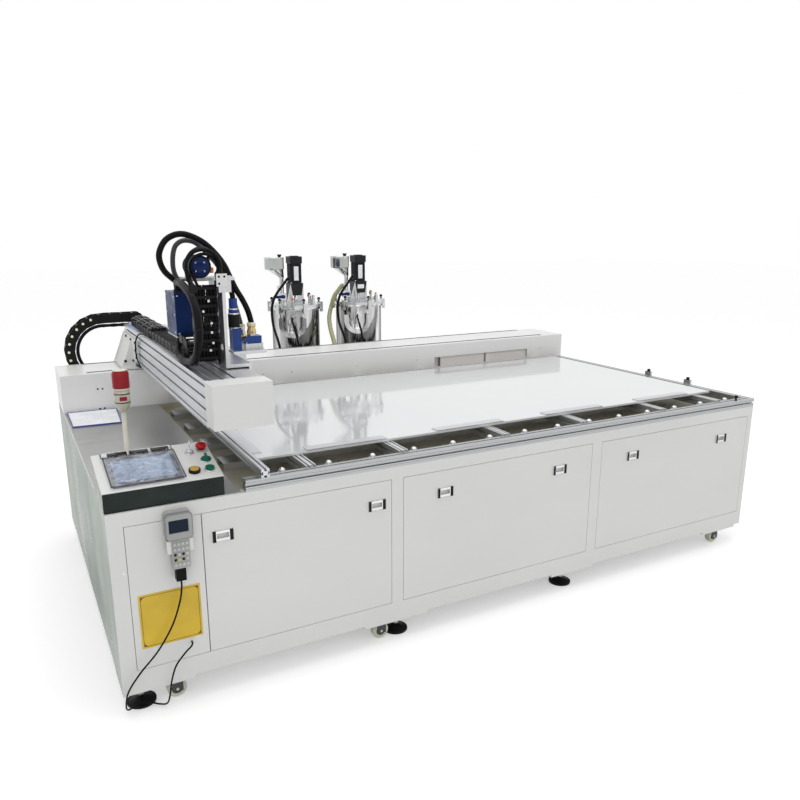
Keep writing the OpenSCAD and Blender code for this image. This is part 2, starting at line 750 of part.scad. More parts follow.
// Bearing block that grips a long rail
module bearing(x, y, s) {
  deep = lin_h + 15.5;
  difference() {
    translate([x, s > 0 ? y : y - deep, rail_z - 28]) cube([90, deep, 56]);
    translate([x - 1, s > 0 ? y + 19.2 : y - deep - 1, rail_z - lin_w / 2 - 0.3])
      cube([92, deep - 18.2, lin_w + 0.6]);
  }
}

// Turns the plane of a chain upright, running along y
module upright_y(x) {
  translate([x, 0, 0]) rotate([90, 0, 90]) children();
}

ych_pitch = 36;
ych_run = ych_fix_y - ych_y - 3 * ych_pitch;

// Lower run of the short drag chain on top of the beam
module y_chain_run() color("black") place()
  translate([0, ych_y + 3 * ych_pitch, ych_z]) upright_y(ych_x + ych_w / 2)
    links(0, ych_run, ych_run, ych_r, ych_pitch, ych_h, ych_w);

// Bend and upper run of the short drag chain, and the upright cable guide beside the post
module y_chain_loop() color("black") place() {
  translate([0, ych_y, ych_z]) upright_y(ych_x + ych_w / 2)
    links(0, 2 * ych_pitch + PI * ych_r + 90, 2 * ych_pitch, ych_r, ych_pitch, ych_h, ych_w);
  for (i = [0 : 8])
    translate([guide_x, guide_y, beam_top + 20 + guide_pitch * i]) rotate([0, -90, 0])
      link(guide_pitch, guide_h, guide_w, i % 2);
}

guide_pitch = 31;
guide_h = 24;
guide_w = 90;
guide_x = ych_x + ych_w - 2 - guide_w / 2;
guide_y = head_y + 60;

// Carriage on the cross drive: block, side plate, top plate, post and guide rails
module head_carriage() color("gainsboro") place() {
  zc = mod_z + mod_h / 2;
  // Block on the rail inside the drive, and its two webs
  difference() {
    block([mod_x + 14, head_y + 90, zc - 28], [mod_x + 40, head_y + 380, zc + 28]);
    block([mod_x + 13, head_y + 89, zc - lin_w / 2 - 0.3], [mod_x + 10 + lin_h - 2.7, head_y + 381, zc + lin_w / 2 + 0.3]);
  }
  block([mod_x + 40, head_y + 90, mod_z + 14], [mod_x + 52, head_y + 380, mod_top - 14]);
  for (z = [mod_z + 14, mod_top - 20])
    block([mod_x + 52, head_y + 90, z], [car_x, head_y + 380, z + 6]);
  // Side plate and top plate
  block([car_x, head_y, mod_z + 14], [car_x + head_t, head_y1, car_top]);
  block([car_x, head_y1 - 190, mod_z - 85], [car_x + head_t, head_y1, mod_z + 14]);
  block([beam_x + beam_w + 3, head_y, car_top - head_t], [car_x, head_y1, car_top]);
  // Post with its top bracket
  difference() {
    block([beam_x + beam_w + 3, head_y, car_top], [beam_x + beam_w + 15, head_y + 85, car_top + post_h]);
    translate([beam_x + beam_w, head_y + 42, car_top + 60]) rotate([0, 90, 0]) cylinder(h = 40, r = 14, center = true);
  }
  block([beam_x + beam_w - 9, head_y - 3, car_top + post_h - 58], [beam_x + beam_w + 36, head_y, car_top + post_h]);
  // Riser and shelf for the electronics box
  block([beam_x + beam_w + 9, head_y1 - 140, car_top], [beam_x + beam_w + 15, head_y1, box_z - 5]);
  // Bars that hold the upright cable guide
  for (z = [car_top + 40, car_top + 200])
    block([guide_x - 20, guide_y + guide_h / 2, z], [beam_x + beam_w + 3, guide_y + guide_h / 2 + 6, z + 20]);
  block([box_x, box_y0, box_z - 5], [beam_x + beam_w + 15, box_y0 + ebox[1], box_z]);
  // Column and seat for the servo motor
  block([beam_x + beam_w + 22, head_y + 185, car_top], [beam_x + beam_w + 60, head_y + 255, servo_z - servo_r - 12]);
  block([servo_x - 50, head_y + 165, servo_z - servo_r - 12], [car_x + head_t, head_y + 275, servo_z - servo_r]);
  // Upright rails of the head's vertical slide
  for (y = zrail_y)
    block([car_x + head_t, y - lin_w / 2, mod_z - 84], [car_x + head_t + 12, y + lin_w / 2, car_top - 8]);
}

servo_x = beam_x + 90;
servo_z = beam_top + 353;

// Servo motor lying along the beam on top of the head
module z_servo() color("navy") place()
  translate([servo_x, head_y + 160, servo_z]) rotate([-90, 0, 0]) {
    cylinder(h = 14, r = servo_r - 5);
    translate([0, 0, 14]) cylinder(h = 90, r = servo_r);
    translate([0, 0, 104]) cylinder(h = 20, r = servo_r - 8);
  }

// Painted box with the head's drivers
module electronics_box() color("midnightblue") place() {
  at = [box_x, box_y0, box_z];
  difference() {
    block(at, at + ebox);
    block(at + [2, 2, 2], at + ebox - [2, 2, 2]);
  }
  for (c = [0, 1])
    translate([hose_a_points[0][0] + 22 * c, hose_a_points[0][1] + 45 * c, box_z + ebox[2]])
      cylinder(h = 10, r = hose_r[c] + 4);
  translate([conduit_points[0][0], conduit_points[0][1], box_z + ebox[2]]) cylinder(h = 10, r = 14);
}

// Slide of the head with its bearing blocks and the pump deck
module pump_deck() color("lightgray") place() {
  y0 = zrail_y[0] - 30;
  y1 = zrail_y[1] + 30;
  block([z_x, y0, mod_z - 70], [z_x + 12, y1, deck_z]);
  block([z_x, y0, deck_z], [z_x + 138, y1, deck_z + 12]);
  for (y = zrail_y, z = [mod_z + 16, deck_z - 61])
    difference() {
      block([z_x - 12, y - 22, z], [z_x, y + 22, z + 58]);
      block([z_x - 13, y - lin_w / 2 - 0.3, z - 1], [car_x + head_t + 12.3, y + lin_w / 2 + 0.3, z + 59]);
    }
}

// Two metering pumps with their motor
module metering_pumps() color("royalblue") place() {
  z = deck_z + 12;
  block([z_x + 12, pump_y - 25, z], [z_x + 48, pump_y + 25, z + 88]);
  translate([z_x + 27, pump_y, z + 88]) cylinder(h = 58, r = 23);
  translate([z_x + 27, pump_y, z + 146]) cylinder(h = 18, r = 20);
  translate([z_x + 27, pump_y, z + 164]) cylinder(h = 42, r = 17);
  block([z_x + 62, pump_y - 30, z], [z_x + 136, pump_y + 30, z + 22]);
  block([z_x + 66, pump_y - 25, z + 22], [z_x + 132, pump_y + 25, z + 52]);
  translate([hose_a_end[0], hose_a_end[1], z + 52]) cylinder(h = 12, r = 19, $fn = 6);
  translate([hose_a_end[0], hose_a_end[1], z + 64]) cylinder(h = hose_a_end[2] - z - 64, r = 15);
  translate([hose_b_end[0], hose_b_end[1], z]) cylinder(h = 46, r = 12, $fn = 6);
  translate([hose_b_end[0], hose_b_end[1], z + 46]) cylinder(h = hose_b_end[2] - z - 46, r = 15);
}

// Static mixer with its block and nozzle tip
module mixing_nozzle() color("lightsteelblue") place() {
  x = z_x + 40;
  z = deck_z;
  block([z_x + 12, pump_y - 30, z - 60], [z_x + 62, pump_y + 30, z]);
  difference() {
    translate([x, pump_y, 0]) union() {
      translate([0, 0, z - 180]) cylinder(h = 120, r = 14);
      translate([0, 0, z - 200]) cylinder(h = 20, r1 = 5, r2 = 12);
      translate([0, 0, z - 222]) cylinder(h = 22, r = 4);
    }
    translate([x, pump_y, z - 223]) cylinder(h = 60, r = nozzle_bore_r);
  }
}

nozzle_bore_r = 1.5;
hose_r = [12, 10];
hose_a_end = [z_x + 98, pump_y, 1135];
hose_b_end = [z_x + 70, pump_y + 55, 1124];

// Tanks: their middle points and the height of their floor
tank_at = [tank_x, tank_x + tank_pitch];
tank_floor = tank_top - tank_h;
valve_in = 86;
hopper_out = 44;
hopper_z = 162;
case_z = 64;
valve_z = tank_top + lid_t + 46;

// Table behind the cabinet that carries the tanks
module tank_stand() color("lightgray") place() {
  x0 = tank_x - lid_r - 20;
  x1 = tank_x + tank_pitch + lid_r + 20;
  y0 = tank_y - lid_r - 10;
  y1 = cab_d + rear_out;
  z = stand_h - floor_gap;
  block([x0, y0, z - 8], [x1, y1, z]);
  for (y = [y0, y1 - 40]) block([x0 + 40, y, z - 48], [x1 - 40, y + 40, z - 8]);
  for (x = [x0, x1 - 40]) {
    for (y = [y0, y1 - 40]) {
      block([x, y, -floor_gap + 10], [x + 40, y + 40, z - 8]);
      translate([x + 20, y + 20, -floor_gap]) cylinder(h = 10, r = 28);
    }
    block([x, y0 + 40, 60], [x + 40, y1 - 40, 100]);
    block([x, cab_d, z - 120], [x + 40, y0, z - 80]);
  }
}

// Two steel tank shells with their feet, rim and half-ring handles
module tank_shells() color("silver") place()
  for (x = tank_at) translate([x, tank_y, tank_floor]) {
    rotate_extrude() polygon([
      [0, 0], [tank_r, 0], [tank_r, tank_h - 14], [lid_r - 3, tank_h - 14],
      [lid_r - 3, tank_h], [tank_r - 4, tank_h], [tank_r - 4, 4], [0, 4]]);
    for (a = [90, 210, 330])
      rotate([0, 0, a]) translate([tank_r - 30, 0, -30]) cylinder(h = 30, r = 13);
    rotate([0, 0, -28]) {
      translate([0, 0, tank_h - 100]) half_ring();
      translate([0, -tank_r + 2, tank_h - 62]) rotate([90, 0, 0]) cylinder(h = 14, r = 9);
    }
  }

// U-shaped handle on the front of a tank
module half_ring() {
  translate([0, -tank_r + 4, 0]) rotate([90, 0, 0]) difference() {
    union() {
      cylinder(h = 14, r = 84);
      translate([-84, 0, 0]) cube([168, 38, 14]);
    }
    translate([0, 0, -1]) cylinder(h = 16, r = 56);
    translate([-56, 0, -1]) cube([112, 39, 16]);
    translate([-85, 38, -1]) cube([170, 50, 16]);
  }
  for (s = [-1, 1]) translate([s * 70 - 8, -tank_r + 3, 12]) cube([16, 13, 16]);
}

// Swing clamp over the rim of a tank
module rim_clamp() translate([lid_r, 0, 0]) {
  translate([1.5, -11, -34]) cube([10, 22, lid_t + 46]);
  translate([-22, -9, lid_t - 2]) cube([26, 18, 14]);
  translate([-8, -9, -34]) cube([12, 18, 18]);
  translate([-14, 0, lid_t + 12]) cylinder(h = 16, r = 5);
  translate([-14, 0, lid_t + 28]) sphere(9);
}

// Hopper with its outlet to one side, closed by a flat lid with a knob
module hopper() {
  difference() {
    union() {
      hull() {
        cylinder(h = 1, r = 16);
        translate([-hopper_out, 0, 58]) cylinder(h = 1, r = 56);
      }
      translate([-hopper_out, 0, 58]) cylinder(h = 63, r = 58);
    }
    translate([-hopper_out, 0, 60]) cylinder(h = 56, r = 55);
  }
  translate([-hopper_out, 0, 121]) cylinder(h = 4, r = 60);
  translate([-hopper_out + 36, 0, 125]) cylinder(h = 16, r1 = 8, r2 = 15);
}

// Lids with clamps, filling hoppers, valves and fittings
module tank_lids() color("lightgray") place()
  for (x = tank_at) translate([x, tank_y, tank_top]) {
    difference() {
      cylinder(h = lid_t, r = lid_r);
      translate([0, 0, -1]) cylinder(h = lid_t + 2, r = 9);
    }
    for (a = [30 : 60 : 330]) rotate([0, 0, a]) rim_clamp();
    translate([-valve_in, 0, lid_t]) {
      cylinder(h = 28, r = 13);
      difference() {
        translate([-22, -22, 24]) cube([44, 44, 44]);
        translate([0, -30, 46]) rotate([-90, 0, 0]) cylinder(h = 20, r = 5.05);
      }
      translate([0, 0, 68]) cylinder(h = hopper_z - 68, r = 13);
      translate([0, 0, 98]) rotate([0, -90, 0]) cylinder(h = 26, r = 16);
      translate([0, 0, hopper_z]) hopper();
    }
    translate([106, 30, lid_t]) {
      cylinder(h = 36, r = 7);
      translate([0, 0, 36]) cylinder(h = 14, r = 12, $fn = 6);
      translate([0, 0, 50]) cylinder(h = 10, r = 5);
    }
    translate([air_port[0], air_port[1], lid_t]) {
      cylinder(h = 34, r = 14, $fn = 6);
      cylinder(h = 34 + air_port_h, r = air_port_r);
    }
  }

// Stub on a tank's lid for the vacuum or air hose: its place, radius and length
air_port = [90, -80];
air_port_r = 9;
air_port_h = 20;

// Stirrer gear motors on their brackets
module tank_motors() color("dimgray") place()
  for (x = tank_at) translate([x, tank_y, tank_top + lid_t]) {
    difference() {
      translate([-42, -42, 0]) cube([84, 84, case_z]);
      translate([-30, -43, 10]) cube([60, 86, case_z - 22]);
      translate([0, 0, -1]) cylinder(h = case_z + 2, r = 12);
    }
    difference() {
      translate([-42, -42, case_z]) cube([84, 84, 62]);
      translate([0, 0, case_z - 1]) cylinder(h = 31, r = 8.05);
    }
    translate([-33, -33, case_z + 62]) cube([66, 66, 122]);
    for (i = [-2 : 2]) {
      translate([13 * i - 2, -37, case_z + 62]) cube([4, 74, 122]);
      translate([-37, 13 * i - 2, case_z + 62]) cube([74, 4, 122]);
    }
    translate([-39, -39, case_z + 184]) cube([78, 78, 42]);
    translate([-52, -38, case_z + 76]) cube([18, 24, 30]);
  }

// Stirrer shaft with its blades
module agitator(i) color("silver") place()
  translate([tank_at[i], tank_y, tank_floor]) {
    translate([0, 0, 50]) cylinder(h = tank_h + lid_t + case_z - 30, r = 8);
    for (z = [60, 180]) {
      translate([-100, -4, z]) cube([200, 8, 34]);
      translate([-4, -100, z + 50]) cube([8, 200, 34]);
    }
  }

module agitator_1() agitator(0);
module agitator_2() agitator(1);

// Handle of the valve below a hopper
module valve_lever(i) color("firebrick") place()
  translate([tank_at[i] - valve_in, tank_y - 22, valve_z]) rotate([90, 0, 0]) {
    translate([0, 0, -7]) cylinder(h = 16, r = 5);
    translate([0, 0, 5]) cylinder(h = 5, r = 11);
    translate([-60, -8, 5]) cube([60, 16, 4]);
    translate([-60, 0, 5]) cylinder(h = 4, r = 8);
  }

module valve_lever_1() valve_lever(0);
module valve_lever_2() valve_lever(1);

// Mounting plate with the drives behind the first large panel
module drive_cabinet() color("lightsteelblue") place() {
  block([340, 420, sheet_t], [980, 423, 500]);
  for (x = [350, 930]) block([x, 423, sheet_t], [x + 40, 560, sheet_t + 30]);
  for (i = [0 : 4]) {
    block([370 + 118 * i, 290, 270], [470 + 118 * i, 420, 460]);
    block([380 + 118 * i, 284, 290], [420 + 118 * i, 290, 330]);
  }
  block([360, 408, 200], [960, 420, 235]);
  block([370, 340, 205], [560, 408, 230]);
  block([360, 370, 100], [960, 420, 150]);
}

// Vacuum pump and its motor on a base in the middle bay
module vacuum_pump() color("steelblue") place() {
  block([1180, 480, sheet_t], [1640, 720, sheet_t + 12]);
  for (x = [1210, 1570]) block([x, 520, sheet_t + 12], [x + 40, 680, sheet_t + 50]);
  translate([1200, 600, 170]) rotate([0, 90, 0]) cylinder(h = 190, r = 110);
  translate([1390, 600, 170]) rotate([0, 90, 0]) cylinder(h = 30, r = 60);
  translate([1420, 600, 170]) rotate([0, 90, 0]) cylinder(h = 210, r = 90);
  for (x = [1210, 1570]) block([x, 560, sheet_t + 50], [x + 40, 640, 170]);
  translate([1290, 600, 270]) cylinder(h = 90, r = 30);
}

// Cord from the pendant round the front foot to the service panel
pendant_cord_points = [
  [213, -26, 382], [213, -26, 376], [212, -26, 350], [202, -26, 300], [172, -26, 222], [120, -28, 144],
  [57, -30, 80], [16, -24, 20], [6, -6, -40], [14, 26, -80], [42, 44, -86], [84, 44, -86],
  [118, 26, -92], [138, -2, -78], [146, -24, -36], [154, -32, 20], [172, -36, 76],
  [204, -38, 116], [228, -30, 131], [236, -14, 133], [236, -6, 133], [236, 2, 133]];

module pendant_cord() color("black") place()
  tube(led(pendant_cord_points, 3), cord_r, 8, [1, 0, 0]);

// A point on the head, from the beam, the carriage front and the beam top
function on_head(x, y, z) = [beam_x + x, head_y + y, beam_top + z];

hose_top = box_z + ebox[2] + 10 - beam_top;
hose_a_points = [
  on_head(60, 355, hose_top), on_head(60, 355, hose_top + 7), on_head(50, 355, 284), on_head(26, 355, 305),
  on_head(2, 355, 330), on_head(-12, 355, 364), on_head(-12, 355, 400), on_head(9, 355, 440),
  on_head(41, 355, 462), on_head(78, 355, 468), on_head(118, 355, 457), on_head(160, 355, 433),
  on_head(201, 355, 393), on_head(232, 355, 349), on_head(254, 355, 299), on_head(274, 355, 254),
  on_head(300, 355, 208), on_head(320, 355, 162), hose_a_end + [0, 0, 8], hose_a_end];

hose_b_points = [
  on_head(82, 400, hose_top), on_head(82, 400, hose_top + 7), on_head(70, 400, 284), on_head(52, 400, 308),
  on_head(44, 400, 345), on_head(48, 400, 394), on_head(62, 400, 427), on_head(91, 400, 443),
  on_head(128, 400, 438), on_head(157, 400, 417), on_head(187, 400, 386), on_head(217, 400, 348),
  on_head(246, 400, 296), on_head(264, 402, 251), on_head(277, 405, 205), on_head(290, 408, 160),
  hose_b_end + [0, 0, 8], hose_b_end];

module pump_hoses() color("black") place() {
  tube(led(hose_a_points, 3), hose_r[0], 10, [0, 1, 0]);
  tube(led(hose_b_points, 3), hose_r[1], 10, [0, 1, 0]);
}

// Conduit from the electronics box past the front of the cable guide and back under the box
conduit_points = [
  on_head(40, 322, hose_top), on_head(40, 322, hose_top + 7), on_head(28, 272, 290), on_head(15, 190, 299),
  on_head(10, 90, 294), on_head(10, -6, 272), on_head(12, -66, 232), on_head(12, -92, 180),
  on_head(12, -90, 135), on_head(12, -52, 78), on_head(12, 20, 35), on_head(12, 110, 18),
  on_head(12, 190, 17), on_head(12, 255, 28), on_head(26, 312, 50), on_head(36, 328, 69),
  on_head(36, 328, box_z - 5 - beam_top)];

module head_conduit() color("black") place() tube(led(conduit_points, 3), 11, 10, [1, 0, 0]);

// A point from the middle of the top of a tank's lid
function on_tank(i, x, y, z) = [tank_at[i] + x, tank_y + y, tank_top + lid_t + z];

// Filling hose of the second tank, motor cables and level sensor cables
hose_back = tray_y + xch_w + 38;
fill_hose = [
  on_tank(1, -valve_in - 26, 0, 98), on_tank(1, -valve_in - 33, 0, 98), on_tank(1, -138, 2, 74),
  on_tank(1, -170, 4, 34), on_tank(1, -196, 0, -33), on_tank(1, -224, -30, -96), on_tank(1, -242, -90, -165),
  [tank_at[1] - 250, hose_back, tank_top - 240], [tank_at[1] - 252, hose_back, tank_top - 320],
  [tank_at[1] - 252, hose_back - 20, 620], [tank_at[1] - 252, hose_back - 60, 586],
  [tank_at[1] - 252, cab_d + 8, 578], [tank_at[1] - 252, cab_d, 578]];

function motor_cable(i) = [
  on_tank(i, -52, -26, case_z + 91), on_tank(i, -57, -26, case_z + 91), on_tank(i, -70, -36, case_z + 80),
  on_tank(i, -98, -52, 118), on_tank(i, -132, -56, 80), on_tank(i, -160, -56, 34), on_tank(i, -175, -56, -30),
  on_tank(i, -176, -80, -130), [tank_at[i] - 174, hose_back, tank_top - 220], [tank_at[i] - 172, hose_back, tank_top - 340],
  [tank_at[i] - 170, hose_back - 20, 612], [tank_at[i] - 170, hose_back - 60, 576],
  [tank_at[i] - 170, cab_d + 8, 566], [tank_at[i] - 170, cab_d, 566]];

function sensor_cable(i) = [
  on_tank(i, -75.6, -142.2, -62 - lid_t), on_tank(i, -79.4, -149.2, -62 - lid_t), on_tank(i, -84, -160, -92),
  on_tank(i, -74, -173, -146), [tank_at[i] - 52, hose_back, tank_top - 210], [tank_at[i] - 26, hose_back, tank_top - 330],
  [tank_at[i] - 20, hose_back - 20, 612], [tank_at[i] - 18, hose_back - 60, 572],
  [tank_at[i] - 18, cab_d + 8, 562], [tank_at[i] - 18, cab_d, 562]];

module tank_lines() place() {
  color("yellowgreen") tube(led(fill_hose, 3), 14, 10, [0, 1, 0]);
  color("black") for (i = [0, 1]) {
    tube(led(motor_cable(i), 3), 8, 8, [0, 1, 0]);
    tube(led(sensor_cable(i), 3), 5, 8, [0, 0, 1]);
  }
}

cabinet_body();
service_panel();
deck_sheet();
drip_pan();
table_frame();
ball_rollers();
plate_stops();
work_plate();
rear_cover();
drive_spine();
x_chain_run();
undercarriage();
control_box();
touch_screen();
tower_lamp();
tank_stand();
tank_shells();
tank_lids();
tank_motors();
drive_cabinet();
vacuum_pump();
front_panel_1();
front_panel_2();
front_panel_3();
emergency_stop();
start_button();
reset_button();
key_switch();
mode_knob();
pendant();
agitator_1();
agitator_2();
valve_lever_1();
valve_lever_2();
caster_fork_1();
caster_fork_2();
caster_fork_3();
caster_wheel_1();
caster_wheel_2();
caster_wheel_3();
caster_wheel_4();
caster_wheel_5();
caster_wheel_6();
gantry_beam();
y_module();
beam_end_box();
gantry_bracket();
x_chain_loop();
y_chain_run();
head_carriage();
electronics_box();
y_chain_loop();
z_servo();
pump_deck();
metering_pumps();
mixing_nozzle();
pendant_cord();
pump_hoses();
head_conduit();
tank_lines();
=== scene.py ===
"""Looks of the gantry dispensing machine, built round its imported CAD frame.

Lengths are in metres in the row frame: +X from the control box to the far end, +Y from the
front panels to the tanks, +Z up, origin on the floor under the middle of the machine.
"""

import math

import bmesh
import bpy
from mathutils import Matrix, Vector, noise


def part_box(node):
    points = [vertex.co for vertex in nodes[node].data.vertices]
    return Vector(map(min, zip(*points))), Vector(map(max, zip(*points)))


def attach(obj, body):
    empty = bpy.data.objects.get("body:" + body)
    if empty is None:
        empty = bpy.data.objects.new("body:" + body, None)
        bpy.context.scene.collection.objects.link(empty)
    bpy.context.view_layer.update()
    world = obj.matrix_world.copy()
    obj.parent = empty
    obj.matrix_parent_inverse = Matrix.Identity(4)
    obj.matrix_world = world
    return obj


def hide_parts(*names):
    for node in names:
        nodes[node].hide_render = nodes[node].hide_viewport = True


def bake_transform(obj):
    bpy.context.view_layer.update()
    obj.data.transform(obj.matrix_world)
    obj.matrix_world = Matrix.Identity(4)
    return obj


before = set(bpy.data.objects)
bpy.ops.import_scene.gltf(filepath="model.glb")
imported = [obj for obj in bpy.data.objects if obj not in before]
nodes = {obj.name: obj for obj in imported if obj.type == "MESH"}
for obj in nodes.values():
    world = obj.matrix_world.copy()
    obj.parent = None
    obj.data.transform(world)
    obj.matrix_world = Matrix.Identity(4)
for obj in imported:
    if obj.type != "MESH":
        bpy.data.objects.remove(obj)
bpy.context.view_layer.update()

# The cabinet body's front left bottom corner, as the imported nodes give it
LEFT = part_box("cabinet_body")[0].x
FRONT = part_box("table_frame")[0].y
FLOOR_GAP = 0.100

# Directions
RIGHT = Vector((1, 0, 0))
BACK = Vector((0, 1, 0))
UP = Vector((0, 0, 1))


def at(x, y, z):
    """A point given in millimetres from the cabinet body's corner."""
    return Vector((LEFT + x / 1000, FRONT + y / 1000, FLOOR_GAP + z / 1000))


def from_corner(p):
    """The three lengths that at() takes for a point."""
    return (p.x - LEFT) * 1000, (p.y - FRONT) * 1000, (p.z - FLOOR_GAP) * 1000


# Camera, at the photograph's viewing angle; its turns are in radians
CAMERA_AT = (-208.0, -2314.4, 1506.7)
CAMERA_TURN = 0.4959
CAMERA_DOWN = 0.24797
CAMERA_LENS = 32.84
CAMERA_SHIFT = (0.0027, 0.0181)


def make_camera():
    data = bpy.data.cameras.new("camera")
    data.lens = CAMERA_LENS
    data.sensor_width = 36.0
    data.sensor_fit = "HORIZONTAL"
    data.shift_x, data.shift_y = CAMERA_SHIFT
    data.clip_end = 100
    camera = bpy.data.objects.new("camera", data)
    bpy.context.scene.collection.objects.link(camera)
    turn = Matrix.Rotation(-CAMERA_TURN, 4, "Z")
    down = Matrix.Rotation(math.pi / 2 - CAMERA_DOWN, 4, "X")
    camera.matrix_world = Matrix.Translation(at(*CAMERA_AT)) @ turn @ down
    bpy.context.scene.camera = camera


make_camera()


# Materials

# The middle part of a noise's values, from which colours and roughness are spread
NOISE_SPAN = (0.3, 0.7)


def new_node(tree, kind, **inputs):
    """A shader node with some inputs set; a low line in a name stands for a space."""
    node = tree.nodes.new(kind)
    for key, value in inputs.items():
        node.inputs[key.replace("_", " ")].default_value = value
    return node


class Shader:
    """A material whose colour, roughness and bump come from procedural nodes."""

    def __init__(self, name, color, rough, metal=0.0, shine=0.5, **sockets):
        self.material = bpy.data.materials.new(name)
        self.material.use_nodes = True
        self.tree = self.material.node_tree
        self.shader = self.tree.nodes["Principled BSDF"]
        self.color, self.rough = color, rough
        self.shader.inputs["Base Color"].default_value = (*color, 1)
        self.shader.inputs["Roughness"].default_value = rough
        self.shader.inputs["Metallic"].default_value = metal
        self.shader.inputs["Specular IOR Level"].default_value = shine
        for key, value in sockets.items():
            self.shader.inputs[key.replace("_", " ")].default_value = value

    def new(self, kind, **inputs):
        return new_node(self.tree, kind, **inputs)

    def link(self, a, b):
        self.tree.links.new(a, b)

    def noise(self, scale, detail):
        """Noise in the piece's own coordinates; scale is (x, y, z) per metre."""
        place = self.new("ShaderNodeTexCoord").outputs["Object"]
        mapping = self.new("ShaderNodeMapping", Scale=scale)
        texture = self.new("ShaderNodeTexNoise", Scale=1.0, Detail=detail, Roughness=0.55)
        self.link(place, mapping.inputs["Vector"])
        self.link(mapping.outputs["Vector"], texture.inputs["Vector"])
        return texture.outputs["Fac"]

    def vary(self, scale, amount, detail=3.0):
        """Colour a little darker and lighter from place to place."""
        ramp = self.new("ShaderNodeValToRGB")
        ends = zip(ramp.color_ramp.elements, NOISE_SPAN, (1 - amount, 1 + amount))
        for end, position, factor in ends:
            end.position = position
            end.color = (*(min(1.0, c * factor) for c in self.color), 1)
        self.link(self.noise(scale, detail), ramp.inputs["Fac"])
        self.link(ramp.outputs["Color"], self.shader.inputs["Base Color"])
        return self

    def gloss(self, scale, amount, detail=3.0):
        """Roughness that varies from place to place."""
        spread = self.new("ShaderNodeMapRange", From_Min=NOISE_SPAN[0], From_Max=NOISE_SPAN[1],
                          To_Min=max(0.02, self.rough - amount), To_Max=self.rough + amount)
        self.link(self.noise(scale, detail), spread.inputs["Value"])
        self.link(spread.outputs["Result"], self.shader.inputs["Roughness"])
        return self

    def relief(self, scale, strength, distance=0.0004, detail=3.0):
        """Fine bump."""
        bump = self.new("ShaderNodeBump", Strength=strength, Distance=distance)
        self.link(self.noise(scale, detail), bump.inputs["Height"])
        self.link(bump.outputs["Normal"], self.shader.inputs["Normal"])
        return self


def paint_finish(name, color, rough=0.38, tint=0.025):
    """Powder coat: orange-peel bump, a faint change of tone, some coat gloss."""
    s = Shader(name, color, rough, shine=0.45)
    return s.vary((1.3, 1.3, 2.2), tint).gloss((3, 3, 3), 0.06).relief((420, 420, 420), 0.10).material


def brushed_finish(name, color, along, rough=0.34, grain=520.0):
    """Metal with fine lines along one axis."""
    lines = [grain, grain, grain]
    lines["xyz".index(along)] = 4.0
    s = Shader(name, color, rough, 1.0)
    return s.vary(lines, 0.10, 4).gloss(lines, 0.09, 4).relief(lines, 0.16, 0.0002, 4).material


def plastic_finish(name, color, rough=0.45, bump=0.12, **sockets):
    s = Shader(name, color, rough, **sockets)
    return s.vary((9, 9, 9), 0.12).gloss((14, 14, 14), 0.07).relief((900, 900, 900), bump).material


def cast_finish(name, color, rough, **sockets):
    """Thick paint or rough metal, with a coarse grain."""
    s = Shader(name, color, rough, **sockets)
    s.vary((12, 12, 12), 0.10).gloss((30, 30, 30), 0.08).relief((260, 260, 260), 0.35, 0.0008)
    return s.material


def crumpled_finish(name, color):
    """Dark paint under a creased clear film."""
    s = Shader(name, color, 0.24, shine=0.14, Coat_Weight=0.12, Coat_Roughness=0.10)
    return s.vary((8, 8, 8), 0.35).gloss((10, 10, 26), 0.08).relief((16, 16, 30), 0.9, 0.006, 5).material


def covered_finish(name, color):
    """Paint under a flat film that has come loose in large patches."""
    s = Shader(name, color, 0.30, shine=0.14)
    return s.vary((0.9, 1.6, 1.1), 0.30).gloss((3, 3, 3), 0.08).relief((2.2, 2.2, 1.1), 0.5, 0.010).material


def clear_finish(name, color):
    s = Shader(name, color, 0.05, Transmission_Weight=1.0, IOR=1.46)
    return s.gloss((20, 20, 20), 0.03).relief((60, 60, 60), 0.05).material


def reflection_painted_finish(name, color):
    """Polished steel with painted reflections of its surroundings: long upright streaks in its colour."""
    s = Shader(name, color, 0.13, 1.0, Specular_Tint=(0.30, 0.30, 0.30, 1))
    return s.vary((16, 16, 0.6), 0.62, 2).gloss((16, 16, 1), 0.06).relief((9, 9, 1), 0.25, 0.004).material


def lacquer_finish(name, color):
    """Smooth lacquer with a clear coat."""
    s = Shader(name, color, 0.10, Coat_Weight=0.6, Coat_Roughness=0.04)
    return s.vary((1.5, 1.5, 1.5), 0.015).gloss((2.5, 4, 3), 0.035).material


WHITE = paint_finish("white_paint", (0.705, 0.71, 0.695))
WHITE_COVER = paint_finish("white_cover", (0.765, 0.76, 0.755), 0.34)
SIDE_FILM = covered_finish("side_film", (0.220, 0.272, 0.226))
DECK = brushed_finish("brushed_deck", (0.47, 0.472, 0.465), "x", 0.36, 160)
PAN = paint_finish("pan_khaki", (0.46, 0.43, 0.34), 0.5, 0.12)
RAIL = brushed_finish("rail_aluminium", (0.44, 0.45, 0.455), "x", 0.36)
BEAM = brushed_finish("beam_aluminium", (0.62, 0.63, 0.65), "y", 0.36)
CROSS = brushed_finish("cross_aluminium", (0.62, 0.63, 0.64), "y", 0.40)
SPINE = paint_finish("spine_paint", (0.80, 0.765, 0.745), 0.45, 0.06)
PLATE_METAL = brushed_finish("plate_aluminium", (0.58, 0.59, 0.60), "z", 0.35)
STEEL = brushed_finish("steel", (0.52, 0.525, 0.53), "z", 0.28)
STAINLESS = brushed_finish("stainless", (0.60, 0.605, 0.61), "z", 0.20, 300)
# Stainless of the tank shells, with reflections painted into its colour as upright streaks
REFLECTION_PAINTED_STEEL = reflection_painted_finish("mirror_stainless", (0.52, 0.525, 0.52))
POLISHED = brushed_finish("polished_steel", (0.70, 0.70, 0.71), "x", 0.12, 200)
